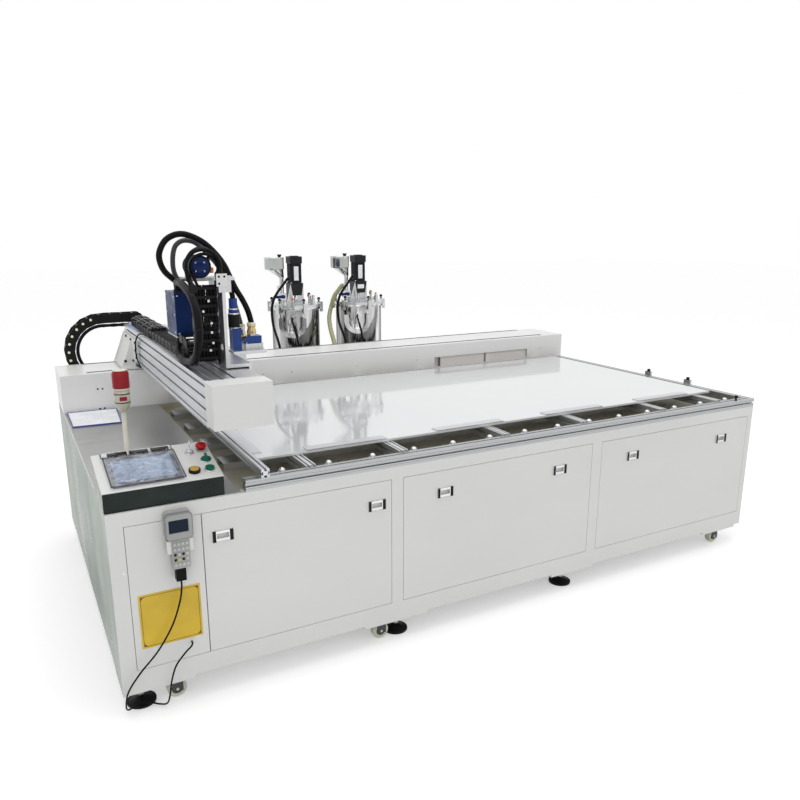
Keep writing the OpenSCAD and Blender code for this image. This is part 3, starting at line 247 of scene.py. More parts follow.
DARK_STEEL = cast_finish("dark_steel", (0.055, 0.057, 0.062), 0.42, metal=0.6)
BLACK = plastic_finish("black_plastic", (0.009, 0.009, 0.010), 0.42, shine=0.14)
BLACK_PAINT = cast_finish("black_paint", (0.012, 0.013, 0.015), 0.34, shine=0.22)
BLACK_RUBBER = plastic_finish("black_rubber", (0.005, 0.005, 0.006), 0.38, 0.25, shine=0.10)
BLUE_BOX = cast_finish("dark_blue_paint", (0.010, 0.028, 0.115), 0.34, shine=0.12)
PUMP_BLUE = cast_finish("pump_blue", (0.012, 0.052, 0.23), 0.32, shine=0.3)
BRASS = brushed_finish("brass", (0.56, 0.42, 0.17), "z", 0.24, 240)
LAMP_RED = plastic_finish("lamp_red", (0.27, 0.003, 0.010), 0.24, 0.03, shine=0.25)
RED = plastic_finish("red_plastic", (0.36, 0.005, 0.008), 0.22, 0.03, shine=0.25)
GREEN = plastic_finish("green_plastic", (0.006, 0.13, 0.075), 0.22, 0.03, shine=0.35)
YELLOW = plastic_finish("yellow_plastic", (0.72, 0.46, 0.01), 0.26, 0.03)
BUTTON_YELLOW = plastic_finish("button_yellow", (0.56, 0.31, 0.03), 0.34, 0.03)
TYRE_CREAM = plastic_finish("tyre_cream", (0.60, 0.59, 0.48), 0.45, 0.05)
STUD = plastic_finish("stud_cream", (0.84, 0.82, 0.56), 0.4, 0.05)
GREY_PLASTIC = plastic_finish("grey_plastic", (0.36, 0.37, 0.36), 0.42)
KEY_GREY = plastic_finish("key_grey", (0.50, 0.51, 0.50), 0.5)
SCREEN = plastic_finish("screen_glass", (0.34, 0.43, 0.60), 0.10, 0.0, shine=0.3)
LCD = plastic_finish("lcd_glass", (0.006, 0.014, 0.032), 0.12, 0.0, shine=0.15)
NOTICE = plastic_finish("yellow_plate", (0.64, 0.43, 0.022), 0.34, 0.05)
MILKY = plastic_finish("milky_nylon", (0.60, 0.66, 0.70), 0.25, 0.05)
FILL_HOSE = plastic_finish("fill_hose", (0.46, 0.46, 0.24), 0.20, 0.05, Transmission_Weight=0.35)
CREAM = plastic_finish("cream_plastic", (0.66, 0.63, 0.54), 0.4)
BLACK_GLOSS = plastic_finish("black_gloss", (0.010, 0.010, 0.012), 0.14, 0.02, shine=0.3)
BEZEL_FILM = plastic_finish("film_on_bezel", (0.20, 0.21, 0.26), 0.16, 0.3)
BOX_FILM = crumpled_finish("film_on_dark_green", (0.012, 0.020, 0.018))
FILM = clear_finish("loose_film", (0.97, 0.98, 0.99))
NAVY_EDGE = plastic_finish("navy_edge", (0.045, 0.055, 0.26), 0.3)
PAPER = plastic_finish("paper", (0.84, 0.85, 0.87), 0.6, 0.05)
PAPER_RULE = plastic_finish("paper_rule", (0.62, 0.63, 0.66), 0.6, 0.05)
LAMP_SHELL = plastic_finish("lamp_shell", (0.66, 0.63, 0.52), 0.22, 0.04, Transmission_Weight=0.35)
DARK_GREY = plastic_finish("dark_grey", (0.20, 0.205, 0.21), 0.45)
NOTICE_EDGE = plastic_finish("plate_edge", (0.11, 0.055, 0.012), 0.4, 0.05)
PALE_BLUE = plastic_finish("pale_blue", (0.30, 0.42, 0.66), 0.4)
ORANGE = plastic_finish("orange_plastic", (0.70, 0.20, 0.02), 0.35)
# Black hose rubber given a lighter grey base colour as a painted sheen; its gloss is real
HOSE_SHEEN_GREY = plastic_finish("grey_rubber", (0.040, 0.041, 0.044), 0.30, 0.2, shine=0.4)
SMOKE_GLASS = plastic_finish("smoke_glass", (0.42, 0.43, 0.42), 0.10, 0.0, Metallic=0.9, Coat_Weight=0.5)
TABLE_WHITE = lacquer_finish("table_white", (0.66, 0.67, 0.68))


def soften(piece, width, angle):
    """Rounds the edges of a piece that turn by more than an angle in degrees."""
    soft = piece.modifiers.new("bevel", "BEVEL")
    soft.width = width
    soft.segments = 2
    soft.limit_method = "ANGLE"
    soft.angle_limit = math.radians(angle)
    soft.harden_normals = True


# The usual rounding of an edge, in metres
EDGE = 0.0012
# The right end of the table's rails
RAIL_END = 3058


def dress(name, default, *regions, bevel=EDGE):
    """Gives a CAD node its materials.

    A region is a material and a test of a face's middle, in millimetres, and its normal.
    """
    node = nodes[name]
    mesh = node.data
    mesh.materials.clear()
    for material in (default, *(r[0] for r in regions)):
        mesh.materials.append(material)
    for face in mesh.polygons:
        face.material_index = 0
        for k, (_, test) in enumerate(regions):
            if test(*from_corner(face.center), face.normal):
                face.material_index = k + 1
    if bevel:
        weld = node.modifiers.new("weld", "WELD")
        weld.merge_threshold = 0.00002
        soften(node, bevel, 50)


def faces_up(x, y, z, n):
    return n.z > 0.5


def on_fill_hose(x, y, z, n):
    """True on the thick hose of the second tank."""
    return 1590 < x < 1765 and (x < 1688 or y > 2045)


def on_pull_edge(x, y, z, n):
    """True on the front and the two ends of a panel's pull."""
    return y < -5.5 or (-7.5 < y < -0.01 and abs(n.x) > 0.5)


# CAD pieces of one material, with the rounding of their edges
ONE_MATERIAL = (
    (WHITE, EDGE, "service_panel beam_end_box gantry_bracket tank_stand"),
    (WHITE_COVER, 0.002, "rear_cover"),
    (TABLE_WHITE, 0.0015, "work_plate"),
    (REFLECTION_PAINTED_STEEL, 0.001, "tank_shells"),
    (BEAM, 0.0006, "gantry_beam"),
    (CROSS, EDGE, "y_module"),
    (PLATE_METAL, EDGE, "head_carriage pump_deck"),
    (STAINLESS, EDGE, "agitator_1 agitator_2"),
    (BLUE_BOX, EDGE, "electronics_box z_servo valve_lever_1 valve_lever_2"),
    (PUMP_BLUE, EDGE, "vacuum_pump"),
    (BLACK_GLOSS, EDGE, "touch_screen"),
    (RED, EDGE, "emergency_stop"),
    (GREEN, EDGE, "start_button mode_knob"),
    (BUTTON_YELLOW, EDGE, "reset_button"),
    (POLISHED, EDGE, "key_switch"),
    (DARK_STEEL, EDGE, "caster_fork_1 caster_fork_2 caster_fork_3"),
    (DECK, 0, "deck_sheet"),
    (PAN, 0, "drip_pan"),
    (SPINE, 0, "drive_spine"),
    (BLACK, 0, "x_chain_run x_chain_loop y_chain_run y_chain_loop"),
    (BLACK_RUBBER, 0, "pump_hoses head_conduit pendant_cord"),
)
for material, bevel, names in ONE_MATERIAL:
    for name in names.split():
        dress(name, material, bevel=bevel)
for i in range(1, 7):
    dress(f"caster_wheel_{i}", TYRE_CREAM)

# CAD pieces of two or more materials
dress("cabinet_body", WHITE, (SIDE_FILM, lambda x, y, z, n: n.x < -0.5 and x < 1), bevel=0.002)
for i in (1, 2, 3):
    dress(f"front_panel_{i}", WHITE, (BLACK, on_pull_edge),
          (POLISHED, lambda x, y, z, n: -5.4 < y < -0.2))
dress("table_frame", RAIL, (CROSS, lambda x, y, z, n: 45 < y and x < RAIL_END), bevel=0.0006)
dress("ball_rollers", STEEL, (POLISHED, faces_up), bevel=0)
dress("plate_stops", BEAM, (BLACK, lambda x, y, z, n: x > 3060 and z > 703), bevel=0.0006)
dress("undercarriage", STEEL, (BLACK, lambda x, y, z, n: z < -70), bevel=0.0006)
dress("control_box", BOX_FILM, (WHITE, lambda x, y, z, n: n.z > 0.9 and z > 660))
dress("tower_lamp", LAMP_RED, (CREAM, lambda x, y, z, n: z < 979 or z > 1041))
dress("tank_lids", STAINLESS, (BLACK, lambda x, y, z, n: z > 1343.5), bevel=0)
dress("tank_motors", BLACK_PAINT, (STEEL, lambda x, y, z, n: z < 1119), bevel=0.001)
dress("tank_lines", BLACK_RUBBER, (FILL_HOSE, on_fill_hose), bevel=0)
dress("drive_cabinet", STEEL, (BLACK, lambda x, y, z, n: y < 419))
dress("pendant", GREY_PLASTIC,
      (BLACK_RUBBER, lambda x, y, z, n: z < 427.5),
      (DARK_GREY, lambda x, y, z, n: z < 529 and -43.1 < y < -41 and abs(n.y) < 0.5),
      (KEY_GREY, lambda x, y, z, n: z < 529 and y < -42.9), bevel=0.001)
dress("metering_pumps", PUMP_BLUE, (BLACK, lambda x, y, z, n: x < 640 and 1122.5 < z < 1179),
      (STEEL, lambda x, y, z, n: x > 645 and (z < 1055 or z > 1087)))
dress("mixing_nozzle", STEEL, (MILKY, lambda x, y, z, n: z < 960))


# Building pieces
CORNER_STEPS = 5


def frame_of(axis):
    """An axis as a unit vector, and two directions square to it and to each other."""
    axis = Vector(axis).normalized()
    side = axis.cross(UP if abs(axis.z) < 0.9 else RIGHT).normalized()
    return axis, side, axis.cross(side)


def circle_points(middle, radius, side, other, count):
    """Points round a circle in the plane of the directions side and other."""
    turns = [2 * math.pi * k / count for k in range(count)]
    return [middle + radius * (math.cos(a) * side + math.sin(a) * other) for a in turns]


def spaced_round(a, b, radius, count, start):
    """Pairs of coordinates evenly round the middle (a, b), the first at start degrees."""
    turns = [math.radians(start + 360 * k / count) for k in range(count)]
    return [(a + radius * math.cos(t), b + radius * math.sin(t)) for t in turns]


class Piece:
    """A mesh piece that rides a body. Points are in millimetres from the cabinet's corner, as in at()."""

    def __init__(self, name, material, body="cabinet"):
        self.name, self.body = name, body
        self.bm = bmesh.new()
        self.materials = []
        self.use(material)

    def use(self, material):
        if material not in self.materials:
            self.materials.append(material)
        self.current = self.materials.index(material)
        return self

    def vert(self, p):
        return self.bm.verts.new(at(*p))

    def face(self, corners, smooth=False):
        made = self.bm.faces.new(corners)
        made.material_index = self.current
        made.smooth = smooth

    def patch(self, points):
        """One flat face."""
        self.face([self.vert(p) for p in points])

    def loft(self, rings, closed_ends=True, smooth=True):
        """Skin over rings of points."""
        made = [[self.vert(p) for p in ring] for ring in rings]
        count = len(made[0])
        for low, high in zip(made, made[1:]):
            for k in range(count):
                after = (k + 1) % count
                self.face((low[k], low[after], high[after], high[k]), smooth)
        if closed_ends:
            self.face(made[0][::-1])
            self.face(made[-1])

    def box(self, low, high):
        """Box between two corners."""
        (x0, y0, z0), (x1, y1, z1) = low, high
        rings = [[(x0, y0, z), (x1, y0, z), (x1, y1, z), (x0, y1, z)] for z in (z0, z1)]
        self.loft(rings, smooth=False)

    def lathe(self, foot, axis, profile, sides, smooth=True):
        """Revolved profile of (radius, distance along the axis) pairs."""
        axis, side, other = frame_of(axis)
        rings = []
        for radius, along in profile:
            rings.append(circle_points(Vector(foot) + axis * along, radius, side, other, sides))
        self.loft(rings, smooth=smooth)

    def nut(self, foot, axis, radius, height):
        """Hexagonal bar."""
        self.lathe(foot, axis, [(radius, 0), (radius, height)], 6, smooth=False)

    def tube(self, points, radius, sides=12, ribs=(1, 0)):
        """Tube along points. ribs is (pitch, depth) of a corrugated wall."""
        path = [Vector(p) for p in points]
        before = [path[0]] + path[:-1]
        after = path[1:] + [path[-1]]
        side = frame_of(after[0] - path[0])[1]
        pitch, depth = ribs
        rings, run = [], 0.0
        for last, p, following in zip(before, path, after):
            along = (following - last).normalized()
            side = (side - along * side.dot(along)).normalized()
            run += (p - last).length
            dip = depth * (0.5 - 0.5 * math.cos(2 * math.pi * run / pitch))
            rings.append(circle_points(p, radius - dip, side, along.cross(side), sides))
        self.loft(rings)

    def slab(self, outline, origin, u, v, thick):
        """Flat outline of (a, b) pairs in the unit directions u and v, given a thickness."""
        base = [Vector(origin) + a * u + b * v for a, b in outline]
        self.loft([base, [p + u.cross(v) * thick for p in base]], smooth=False)

    def rim(self, outer, inner, origin, u, v, thick):
        """Flat frame between two outlines with equally many corners."""
        rings = []
        for outline, lift in ((outer, 0), (outer, thick), (inner, thick), (inner, 0), (outer, 0)):
            rings.append([Vector(origin) + a * u + b * v + lift * u.cross(v) for a, b in outline])
        self.loft(rings, closed_ends=False, smooth=False)

    def done(self, bevel=0.0):
        """Makes the object, its edges rounded by a width in millimetres."""
        mesh = bpy.data.meshes.new(self.name)
        bmesh.ops.recalc_face_normals(self.bm, faces=self.bm.faces)
        self.bm.to_mesh(mesh)
        self.bm.free()
        for material in self.materials:
            mesh.materials.append(material)
        piece = bpy.data.objects.new(self.name, mesh)
        bpy.context.scene.collection.objects.link(piece)
        if bevel:
            soften(piece, bevel / 1000, 40)
        if self.body:
            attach(piece, self.body)
        return piece


def rounded_outline(width, height, radius, corner=(0, 0)):
    """Outline of a rounded rectangle that starts at a corner point."""
    points = []
    for a, b, start in ((width - radius, radius, -90), (width - radius, height - radius, 0),
                        (radius, height - radius, 90), (radius, radius, 180)):
        for k in range(CORNER_STEPS + 1):
            turn = math.radians(start + 90 * k / CORNER_STEPS)
            points.append((corner[0] + a + radius * math.cos(turn),
                           corner[1] + b + radius * math.sin(turn)))
    return points


def screw_head(radius, rim, height, chamfer, socket, depth):
    """Profile of a screw's head: straight up to rim, chamfered, with a socket down to depth."""
    return [(radius, 0), (radius, rim), (radius - chamfer, height), (socket, height), (socket, depth)]


def disc(radius, height, edge, rise):
    """Profile of a disc whose two rims slope by edge over rise."""
    return [(radius - edge, 0), (radius, rise), (radius, height - rise), (radius - edge, height)]


def smooth_path(points, steps):
    """Catmull-Rom curve, the one that the CAD source uses for its tubes."""
    path = [Vector(p) for p in points]
    made = []
    for i in range(len(path) - 1):
        a, b = path[max(i - 1, 0)], path[i]
        c, d = path[i + 1], path[min(i + 2, len(path) - 1)]
        for k in range(steps):
            t = k / steps
            made.append(0.5 * (2 * b + (c - a) * t + (2 * a - 5 * b + 4 * c - d) * t * t
                               + (-a + 3 * b - 3 * c + d) * t ** 3))
    return made + [path[-1]]


# Control box
SLOPE_FOOT = Vector((0, 12, 706))
SLOPE = math.atan2(56, 250)
UP_SLOPE = Vector((0, math.cos(SLOPE), math.sin(SLOPE)))
OFF_SLOPE = Vector((0, -math.sin(SLOPE), math.cos(SLOPE)))
CONTROLS = {"stop": (358, 195), "key": (314, 184), "knob": (356, 118), "start": (352, 52), "reset": (301, 54)}
# Outer radius, hole's radius, height and material of the rings that seat the controls
COLLARS = {
    "stop": (19, 10.6, 4.5, GREY_PLASTIC),
    "key": (17, 14.6, 3.0, POLISHED),
    "knob": (20.5, 17.5, 4.0, POLISHED),
    "start": (19.5, 15.5, 5.0, POLISHED),
    "reset": (19.5, 15.5, 11.0, BLACK),
}


def on_slope(x, s, lift=0.0):
    """A point on the control box's sloping top."""
    return SLOPE_FOOT + RIGHT * x + UP_SLOPE * s + OFF_SLOPE * lift


def crease_height(x, s, seed):
    """Height of a creased film at a point of the slope, from 0 to about 1."""
    crease = 1 - abs(noise.noise(Vector((x * 0.021, s * 0.024, seed)))) * 2.2
    fine = noise.noise(Vector((x * 0.07, s * 0.08, seed + 5)))
    return max(0, crease) ** 3 + 0.22 * fine


def crumpled_sheet(name, x_span, s_span, lift, height, seed, cells):
    """Thin clear film with creases, lying on the sloping top."""
    piece = Piece(name, FILM)
    across, along = cells
    rows = []
    for j in range(along + 1):
        row = []
        for i in range(across + 1):
            x = x_span[0] + (x_span[1] - x_span[0]) * i / across
            s = s_span[0] + (s_span[1] - s_span[0]) * j / along
            edge = min(i, across - i, j, along - j) / 3
            rise = height * crease_height(x, s, seed) * min(1, edge) + 0.4
            row.append(on_slope(x, s, lift + max(0.3, rise)))
        rows.append(row)
    top = [[piece.vert(p) for p in row] for row in rows]
    low = [[piece.vert(p - OFF_SLOPE * 0.25) for p in row] for row in rows]
    for j in range(along):
        for i in range(across):
            piece.face((top[j][i], top[j][i + 1], top[j + 1][i + 1], top[j + 1][i]), True)
            piece.face((low[j][i], low[j + 1][i], low[j + 1][i + 1], low[j][i + 1]), True)
    border = [(0, i) for i in range(across)] + [(j, across) for j in range(along)]
    border += [(along, i) for i in range(across, 0, -1)] + [(j, 0) for j in range(along, 0, -1)]
    for (j, i), (m, n) in zip(border, border[1:] + border[:1]):
        piece.face((top[j][i], low[j][i], low[m][n], top[m][n]))
    piece.done()


def make_display():
    # Bezel round the display, with the film that still covers it
    bezel = Piece("screen_bezel", BEZEL_FILM)
    outer = rounded_outline(226, 192, 14)
    inner = rounded_outline(194, 146, 5, (16, 20))
    bezel.rim(outer, inner, on_slope(35, 20, 0.2), RIGHT, UP_SLOPE, 9.4)
    bezel.done(1.2)
    glass = Piece("screen_glass", SCREEN)
    glass.slab(rounded_outline(198, 150, 5, (14, 18)), on_slope(35, 20, 7.1), RIGHT, UP_SLOPE, 0.7)
    glass.done()
    crumpled_sheet("screen_film", (30, 266), (12, 216), 9.8, 5.0, 3, (44, 30))
    crumpled_sheet("hinge_film", (26, 262), (205, 243), 10.5, 6.5, 11, (44, 8))


def make_lid():
    # Folded lid behind the display, with dark hinge blocks
    lid = Piece("screen_lid", BLACK_GLOSS)
    section = ((212, 9), (234, 9), (234, 13), (226, 17), (215, 15))
    for ends in ((48, 112), (120, 182), (190, 250)):
        lid.loft([[on_slope(x, s, h) for s, h in section] for x in ends], smooth=False)
    lid.done(1.0)
    # White edge of the box's own lid, turned down over its walls
    trim = Piece("box_trim", WHITE)
    outer = [(0.45, 0), (386, 0), (386, 257), (0.45, 257)]
    inner = [(2, 2), (384, 2), (384, 255), (2, 255)]
    trim.rim(outer, inner, on_slope(-0.5, -0.5, -5), RIGHT, UP_SLOPE, 5.6)
    trim.done(0.5)


def make_collars():
    for name, (outer, hole, height, material) in COLLARS.items():
        collar = Piece(f"{name}_collar", material)
        section = ((hole, 0.2), (outer, 0.2), (outer, height - 1), (outer - 1.5, height),
                   (hole + 0.6, height), (hole, height - 0.6), (hole, 0.2))
        rings = []
        for r, lift in section:
            rings.append(circle_points(on_slope(*CONTROLS[name], lift), r, RIGHT, UP_SLOPE, 48))
        collar.loft(rings, closed_ends=False)
        collar.done()


def make_keys():
    # Two keys on their ring, one of them in the lock
    keys = Piece("key_bow", POLISHED, "key_switch_part")
    x, s = CONTROLS["key"]
    keys.lathe(on_slope(x, s, 8), OFF_SLOPE, disc(11.5, 4, 1, 1), 40)
    keys.lathe(on_slope(x + 1.9, s, 36), -RIGHT, disc(11, 3.8, 1.5, 0.6), 28)
    keys.slab([(-2.2, -11), (2.2, -11), (2.2, -31), (0.8, -34), (-1.4, -32), (-2.2, -29)],
              on_slope(x + 1, s - 7, 32), UP_SLOPE, OFF_SLOPE, 1.6)
    keys.lathe(on_slope(x + 3, s - 7, 28), -RIGHT, disc(10, 2.6, 1, 0.5), 28)
    ring = []
    for k in range(25):
        a = 2 * math.pi * k / 24
        ring.append(on_slope(x + 1 + 3 * math.sin(a), s - 5 + 11 * math.cos(a), 30 + 9 * math.sin(a)))
    keys.tube(ring, 0.9, 8)
    keys.done(0.3)


# Signal lamp
LAMP_FOOT = Vector((124, 300, 640))


def make_lamp():
    lens = Piece("lamp_lens_ribs", LAMP_RED)
    profile = [(28.1, 341)]
    for k in range(15):
        z = 342 + 3.2 * k
        profile += [(28.5, z), (28.5, z + 1.7), (28.1, z + 2.2)]
    lens.lathe(LAMP_FOOT, UP, profile, 48)
    lens.done()
    cap = Piece("lamp_cap", CREAM)
    cap.lathe(LAMP_FOOT, UP, [(23.6, 400), (24.4, 400.8), (23.6, 402.6), (20, 403.4), (0.5, 403.8)], 48)
    cap.lathe(LAMP_FOOT, UP, [(26.2, 333.5), (27.4, 334.5), (27.4, 339.4), (26.2, 339.9)], 48)
    cap.done()
    shell = Piece("lamp_shell", LAMP_SHELL)
    shell.lathe(LAMP_FOOT, UP, [(9.3, 255), (13, 259), (26.4, 281.5), (26.4, 334)], 40)
    shell.done()
    inside = Piece("lamp_bands", DARK_STEEL)
    for z in (288, 318):
        inside.lathe(LAMP_FOOT, UP, [(26.2, z), (26.7, z), (26.7, z + 4), (26.2, z + 4)], 40)
    inside.use(LAMP_RED).box(LAMP_FOOT + Vector((-12, -27.2, 298)), LAMP_FOOT + Vector((12, -24.5, 312)))
    inside.done()
    pole = Piece("lamp_pole", CREAM)
    pole.lathe(LAMP_FOOT, UP, [(24.3, 3.9), (24.3, 6), (9, 9), (8.4, 10), (8.4, 258)], 28)
    pole.done()


# Document holder on the deck
HOLDER = ((14, 1470), (242, 1462), (223, 1162), (12, 1174))
PAPER_ROWS = 15


def make_document_holder():
    corners = [Vector((x, y, 0)) for x, y in HOLDER]
    middle = sum(corners, Vector()) / 4

    def outline(inset, z):
        return [c + (middle - c).normalized() * inset + UP * z for c in corners]

    holder = Piece("document_holder", NAVY_EDGE)
    holder.loft([outline(0, 640.3), outline(0, 645.5), outline(9, 645.5), outline(9, 644)], smooth=False)
    holder.use(PAPER).loft([outline(9, 643.9), outline(9, 644.3)], smooth=False)
    holder.use(PAPER_RULE)
    a, b, c, d = outline(18, 644.35)
    step = (d - a) / PAPER_ROWS * 0.10
    for k in range(1, PAPER_ROWS):
        p, q = a.lerp(d, k / PAPER_ROWS), b.lerp(c, k / PAPER_ROWS)
        holder.patch((p, q, q + step, p + step))
    step = (b - a).normalized() * 0.9
    for t in (0.0, 0.33, 0.66, 1.0):
        p, q = a.lerp(b, t), d.lerp(c, t)
        holder.patch((p, q, q + step, p + step))
    holder.done(0.6)


# Pendant and notice plate
def make_pendant():
    lcd = Piece("pendant_lcd", LCD, "programmer")
    lcd.slab(rounded_outline(62, 43, 3), (183.5, -42.6, 556), RIGHT, UP, 0.8)
    lcd.done()
    rim = Piece("pendant_rim", DARK_GREY, "programmer")
    outer = rounded_outline(89, 91, 14.5)
    rim.rim(outer, rounded_outline(81, 83, 11, (4, 4)), (171.5, -30, 530.5), RIGHT, UP, 16)
    rim.done(1.5)
    clips = Piece("pendant_clips", WHITE, "programmer")
    for x0 in (175, 245):
        clips.box((x0 - 0.4, -37.6, 482), (x0 + 14.4, -20, 528))
    clips.done(2)
    keys = Piece("pendant_keys", BLACK, "programmer")
    for ix, iz in ((0, 2), (2, 2), (0, 1), (2, 1)):
        keys.box((193.6 + 13 * ix, -43.6, 438.6 + 18 * iz), (201.4 + 13 * ix, -42.8, 447.4 + 18 * iz))
    keys.use(YELLOW).box((206.6, -43.6, 456.6), (214.4, -42.8, 465.4))
    keys.done(0.2)
    sleeve = Piece("pendant_sleeve", BLACK_RUBBER, "programmer")
    for k in range(6):
        sleeve.box((196.4, -38.6, 385 + 7 * k), (229.6, -10.2, 388.4 + 7 * k))
    sleeve.done(0.8)


NOTICE_WIDTH, NOTICE_HEIGHT = 202, 194
NOTICE_CORNER = Vector((75, 0, 148))
NOTICE_FRAME = 6


def make_notice():
    plate = Piece("notice_plate", NOTICE)
    plate.box(NOTICE_CORNER - BACK * 1.4, NOTICE_CORNER + Vector((NOTICE_WIDTH, 0, NOTICE_HEIGHT)))
    # Dark corners outside the yellow field's rounded outline, and the line round it
    plate.use(NOTICE_EDGE)
    width, height = NOTICE_WIDTH - 2 * NOTICE_FRAME, NOTICE_HEIGHT - 2 * NOTICE_FRAME
    field = rounded_outline(width, height, 18)
    corner = NOTICE_CORNER + Vector((NOTICE_FRAME, -1.45, NOTICE_FRAME))
    for k, (a, b) in enumerate(((width, 0), (width, height), (0, height), (0, 0))):
        arc = field[k * (CORNER_STEPS + 1):(k + 1) * (CORNER_STEPS + 1)]
        for p, q in zip(arc, arc[1:]):
            plate.patch([corner + RIGHT * x + UP * z for x, z in ((a, b), p, q)])
    inner = rounded_outline(width - 3.2, height - 3.2, 16.4, (1.6, 1.6))
    plate.rim(field, inner, corner + BACK * 0.05, RIGHT, UP, 0.3)
    plate.done()


# Gantry
CHAIN_AT = (252, 883)
CHAIN_STUD_RADIUS = 176
CHAIN_CONDUIT_RADIUS = 132
BRACKET_BOLTS = ((1657, 976), (1511, 976), (1384, 976), (1388, 937), (1375, 903), (1483, 873))
BRACKET_FACE = 345
GUSSET_BOLT = (309, 1506, 869)


def around_chain(radius, degrees, y):
    """A point round the middle of the long drag chain's bend; 0 degrees is at the top."""
    a = math.radians(degrees)
    return Vector((CHAIN_AT[0] - radius * math.sin(a), y, CHAIN_AT[1] + radius * math.cos(a)))


def make_chain_detail():
    front = from_corner(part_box("x_chain_loop")[0])[1]
    studs = Piece("chain_studs", STUD, "gantry")
    for k in range(7):
        foot = around_chain(CHAIN_STUD_RADIUS, 18.6 + 14 * k, front + 0.6)
        studs.lathe(foot, -BACK, [(6.6, 0), (6.6, 1.4), (5.2, 2.2), (2.2, 2.2), (2.0, 1.4)], 24)
    studs.done()
    conduit = Piece("chain_conduit", BLACK_RUBBER, "gantry")
    line = [around_chain(CHAIN_CONDUIT_RADIUS, d, front + 16) for d in range(0, 181, 6)]
    line = [line[0] + RIGHT * (150 - 30 * k) for k in range(5)] + line
    line += [line[-1] + RIGHT * 30 * k for k in range(1, 7)]
    conduit.tube(smooth_path(line, 6), 9.5, 12, ribs=(5.6, 1.6))
    conduit.done()


def make_beam_detail():
    bolts = Piece("bracket_bolts", BLACK, "gantry")
    head = [(7, 0), (7, 1.2), (5.4, 1.2), (5.4, 5.6), (4.8, 6.2), (2.6, 6.2), (2.6, 3)]
    for y, z in BRACKET_BOLTS:
        bolts.lathe((BRACKET_FACE, y, z), -RIGHT, head, 24)
    bolts.lathe(GUSSET_BOLT, -BACK, head, 24)
    bolts.done()
    tape = Piece("beam_tape", PALE_BLUE, "gantry")
    tape.box((366, 1489, 1023), (398, 1770, 1023.6))
    tape.done(0.2)
    cable = Piece("beam_cable", BLACK_RUBBER, "gantry")
    line = [(377, 1160, 1027), (372, 1200, 1030), (362, 1240, 1033), (351, 1275, 1030), (347, 1308, 1018),
            (343, 1336, 998), (341, 1356, 974), (341, 1366, 950), (341, 1366, 926), (341.6, 1356, 906),
            (344, 1340, 888), (348, 1322, 872), (351.6, 1330, 862), (351.6, 1365, 858), (351.6, 1440, 857)]
    cable.tube(smooth_path(line, 8), 3.4, 10)
    for y, z in ((1366, 948), (1364, 922)):
        cable.box((339.5, y - 4, z - 2.4), (345.6, y + 8, z + 2.4))
    cable.done()


def make_chain_cables():
    # Cables lying on the cross run's chain, and the ties over them
    bundle = Piece("chain_cables", BLACK_RUBBER, "gantry")
    for n in range(5):
        line = []
        for k in range(13):
            wave = noise.noise(Vector((k * 0.6, n * 3.1, 2)))
            line.append((394 + 15 * n + 7 * wave, 1180 + 45 * k, 1058 + 5 * abs(wave) + (n % 2) * 4))
        bundle.tube(smooth_path(line, 5), 5.2, 10)
    bundle.use(DARK_GREY)
    for y in (1230, 1370, 1530, 1680):
        line = []
        for k in range(13):
            line.append((381 + 91 * k / 12, y, 1057 + 15 * math.sin(math.pi * k / 12)))
        bundle.tube(line, 2.2, 8)
    bundle.done()


def make_end_box_screws():
    screws = Piece("end_box_screws", POLISHED, "gantry")
    low, high = [Vector(from_corner(p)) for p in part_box("beam_end_box")]
    for x in (low.x + 14, high.x - 14):
        for y in (low.y + 14, high.y - 12):
            screws.lathe((x, y, high.z), UP, screw_head(4.4, 0.8, 1.6, 1.2, 1.6, 0.5), 20)
    screws.done()


# Head
SERVO_X, SERVO_FRONT, SERVO_Z = 445, 406, 1376


def make_servo_detail():
    # Ribbed ring round the servo motor, and its end face
    ring = Piece("servo_ring", BLACK, "head")
    profile = [(30, 0), (40.5, 0), (41.2, 1.5), (41.2, 11), (40.5, 12.5), (37, 12.5), (36, 9), (30, 9),
               (30, 0)]
    ring.lathe((SERVO_X, SERVO_FRONT + 10, SERVO_Z), -BACK, profile, 48)
    for k in range(7):
        ring.lathe((SERVO_X, SERVO_FRONT + 18 + 11 * k, SERVO_Z), BACK, disc(41.4, 4.2, 1.3, 0.8), 48)
    ring.done()
    face = Piece("servo_face", BLUE_BOX, "head")
    profile = [(29, -2), (29.5, 0), (28, 3), (22, 4.6), (12, 4.8), (11, 3.6), (3, 3.6)]
    face.lathe((SERVO_X, SERVO_FRONT, SERVO_Z), -BACK, profile, 48)
    face.use(POLISHED)
    for x, z in spaced_round(SERVO_X, SERVO_Z, 22, 4, 45):
        face.lathe((x, SERVO_FRONT - 3.5, z), -BACK, [(3, 0), (3, 1.6), (1.6, 1.6), (1.6, 0.6)], 16)
    face.done()
    plug = Piece("servo_plugs", ORANGE, "head")
    plug.box((484, 418, 1352), (498, 440, 1372))
    plug.use(BLACK).box((478, 444, 1356), (496, 470, 1386))
    plug.lathe((487, 457, 1386), UP, [(8, 0), (9, 2), (9, 14), (6, 18)], 20)
    plug.done(1.2)


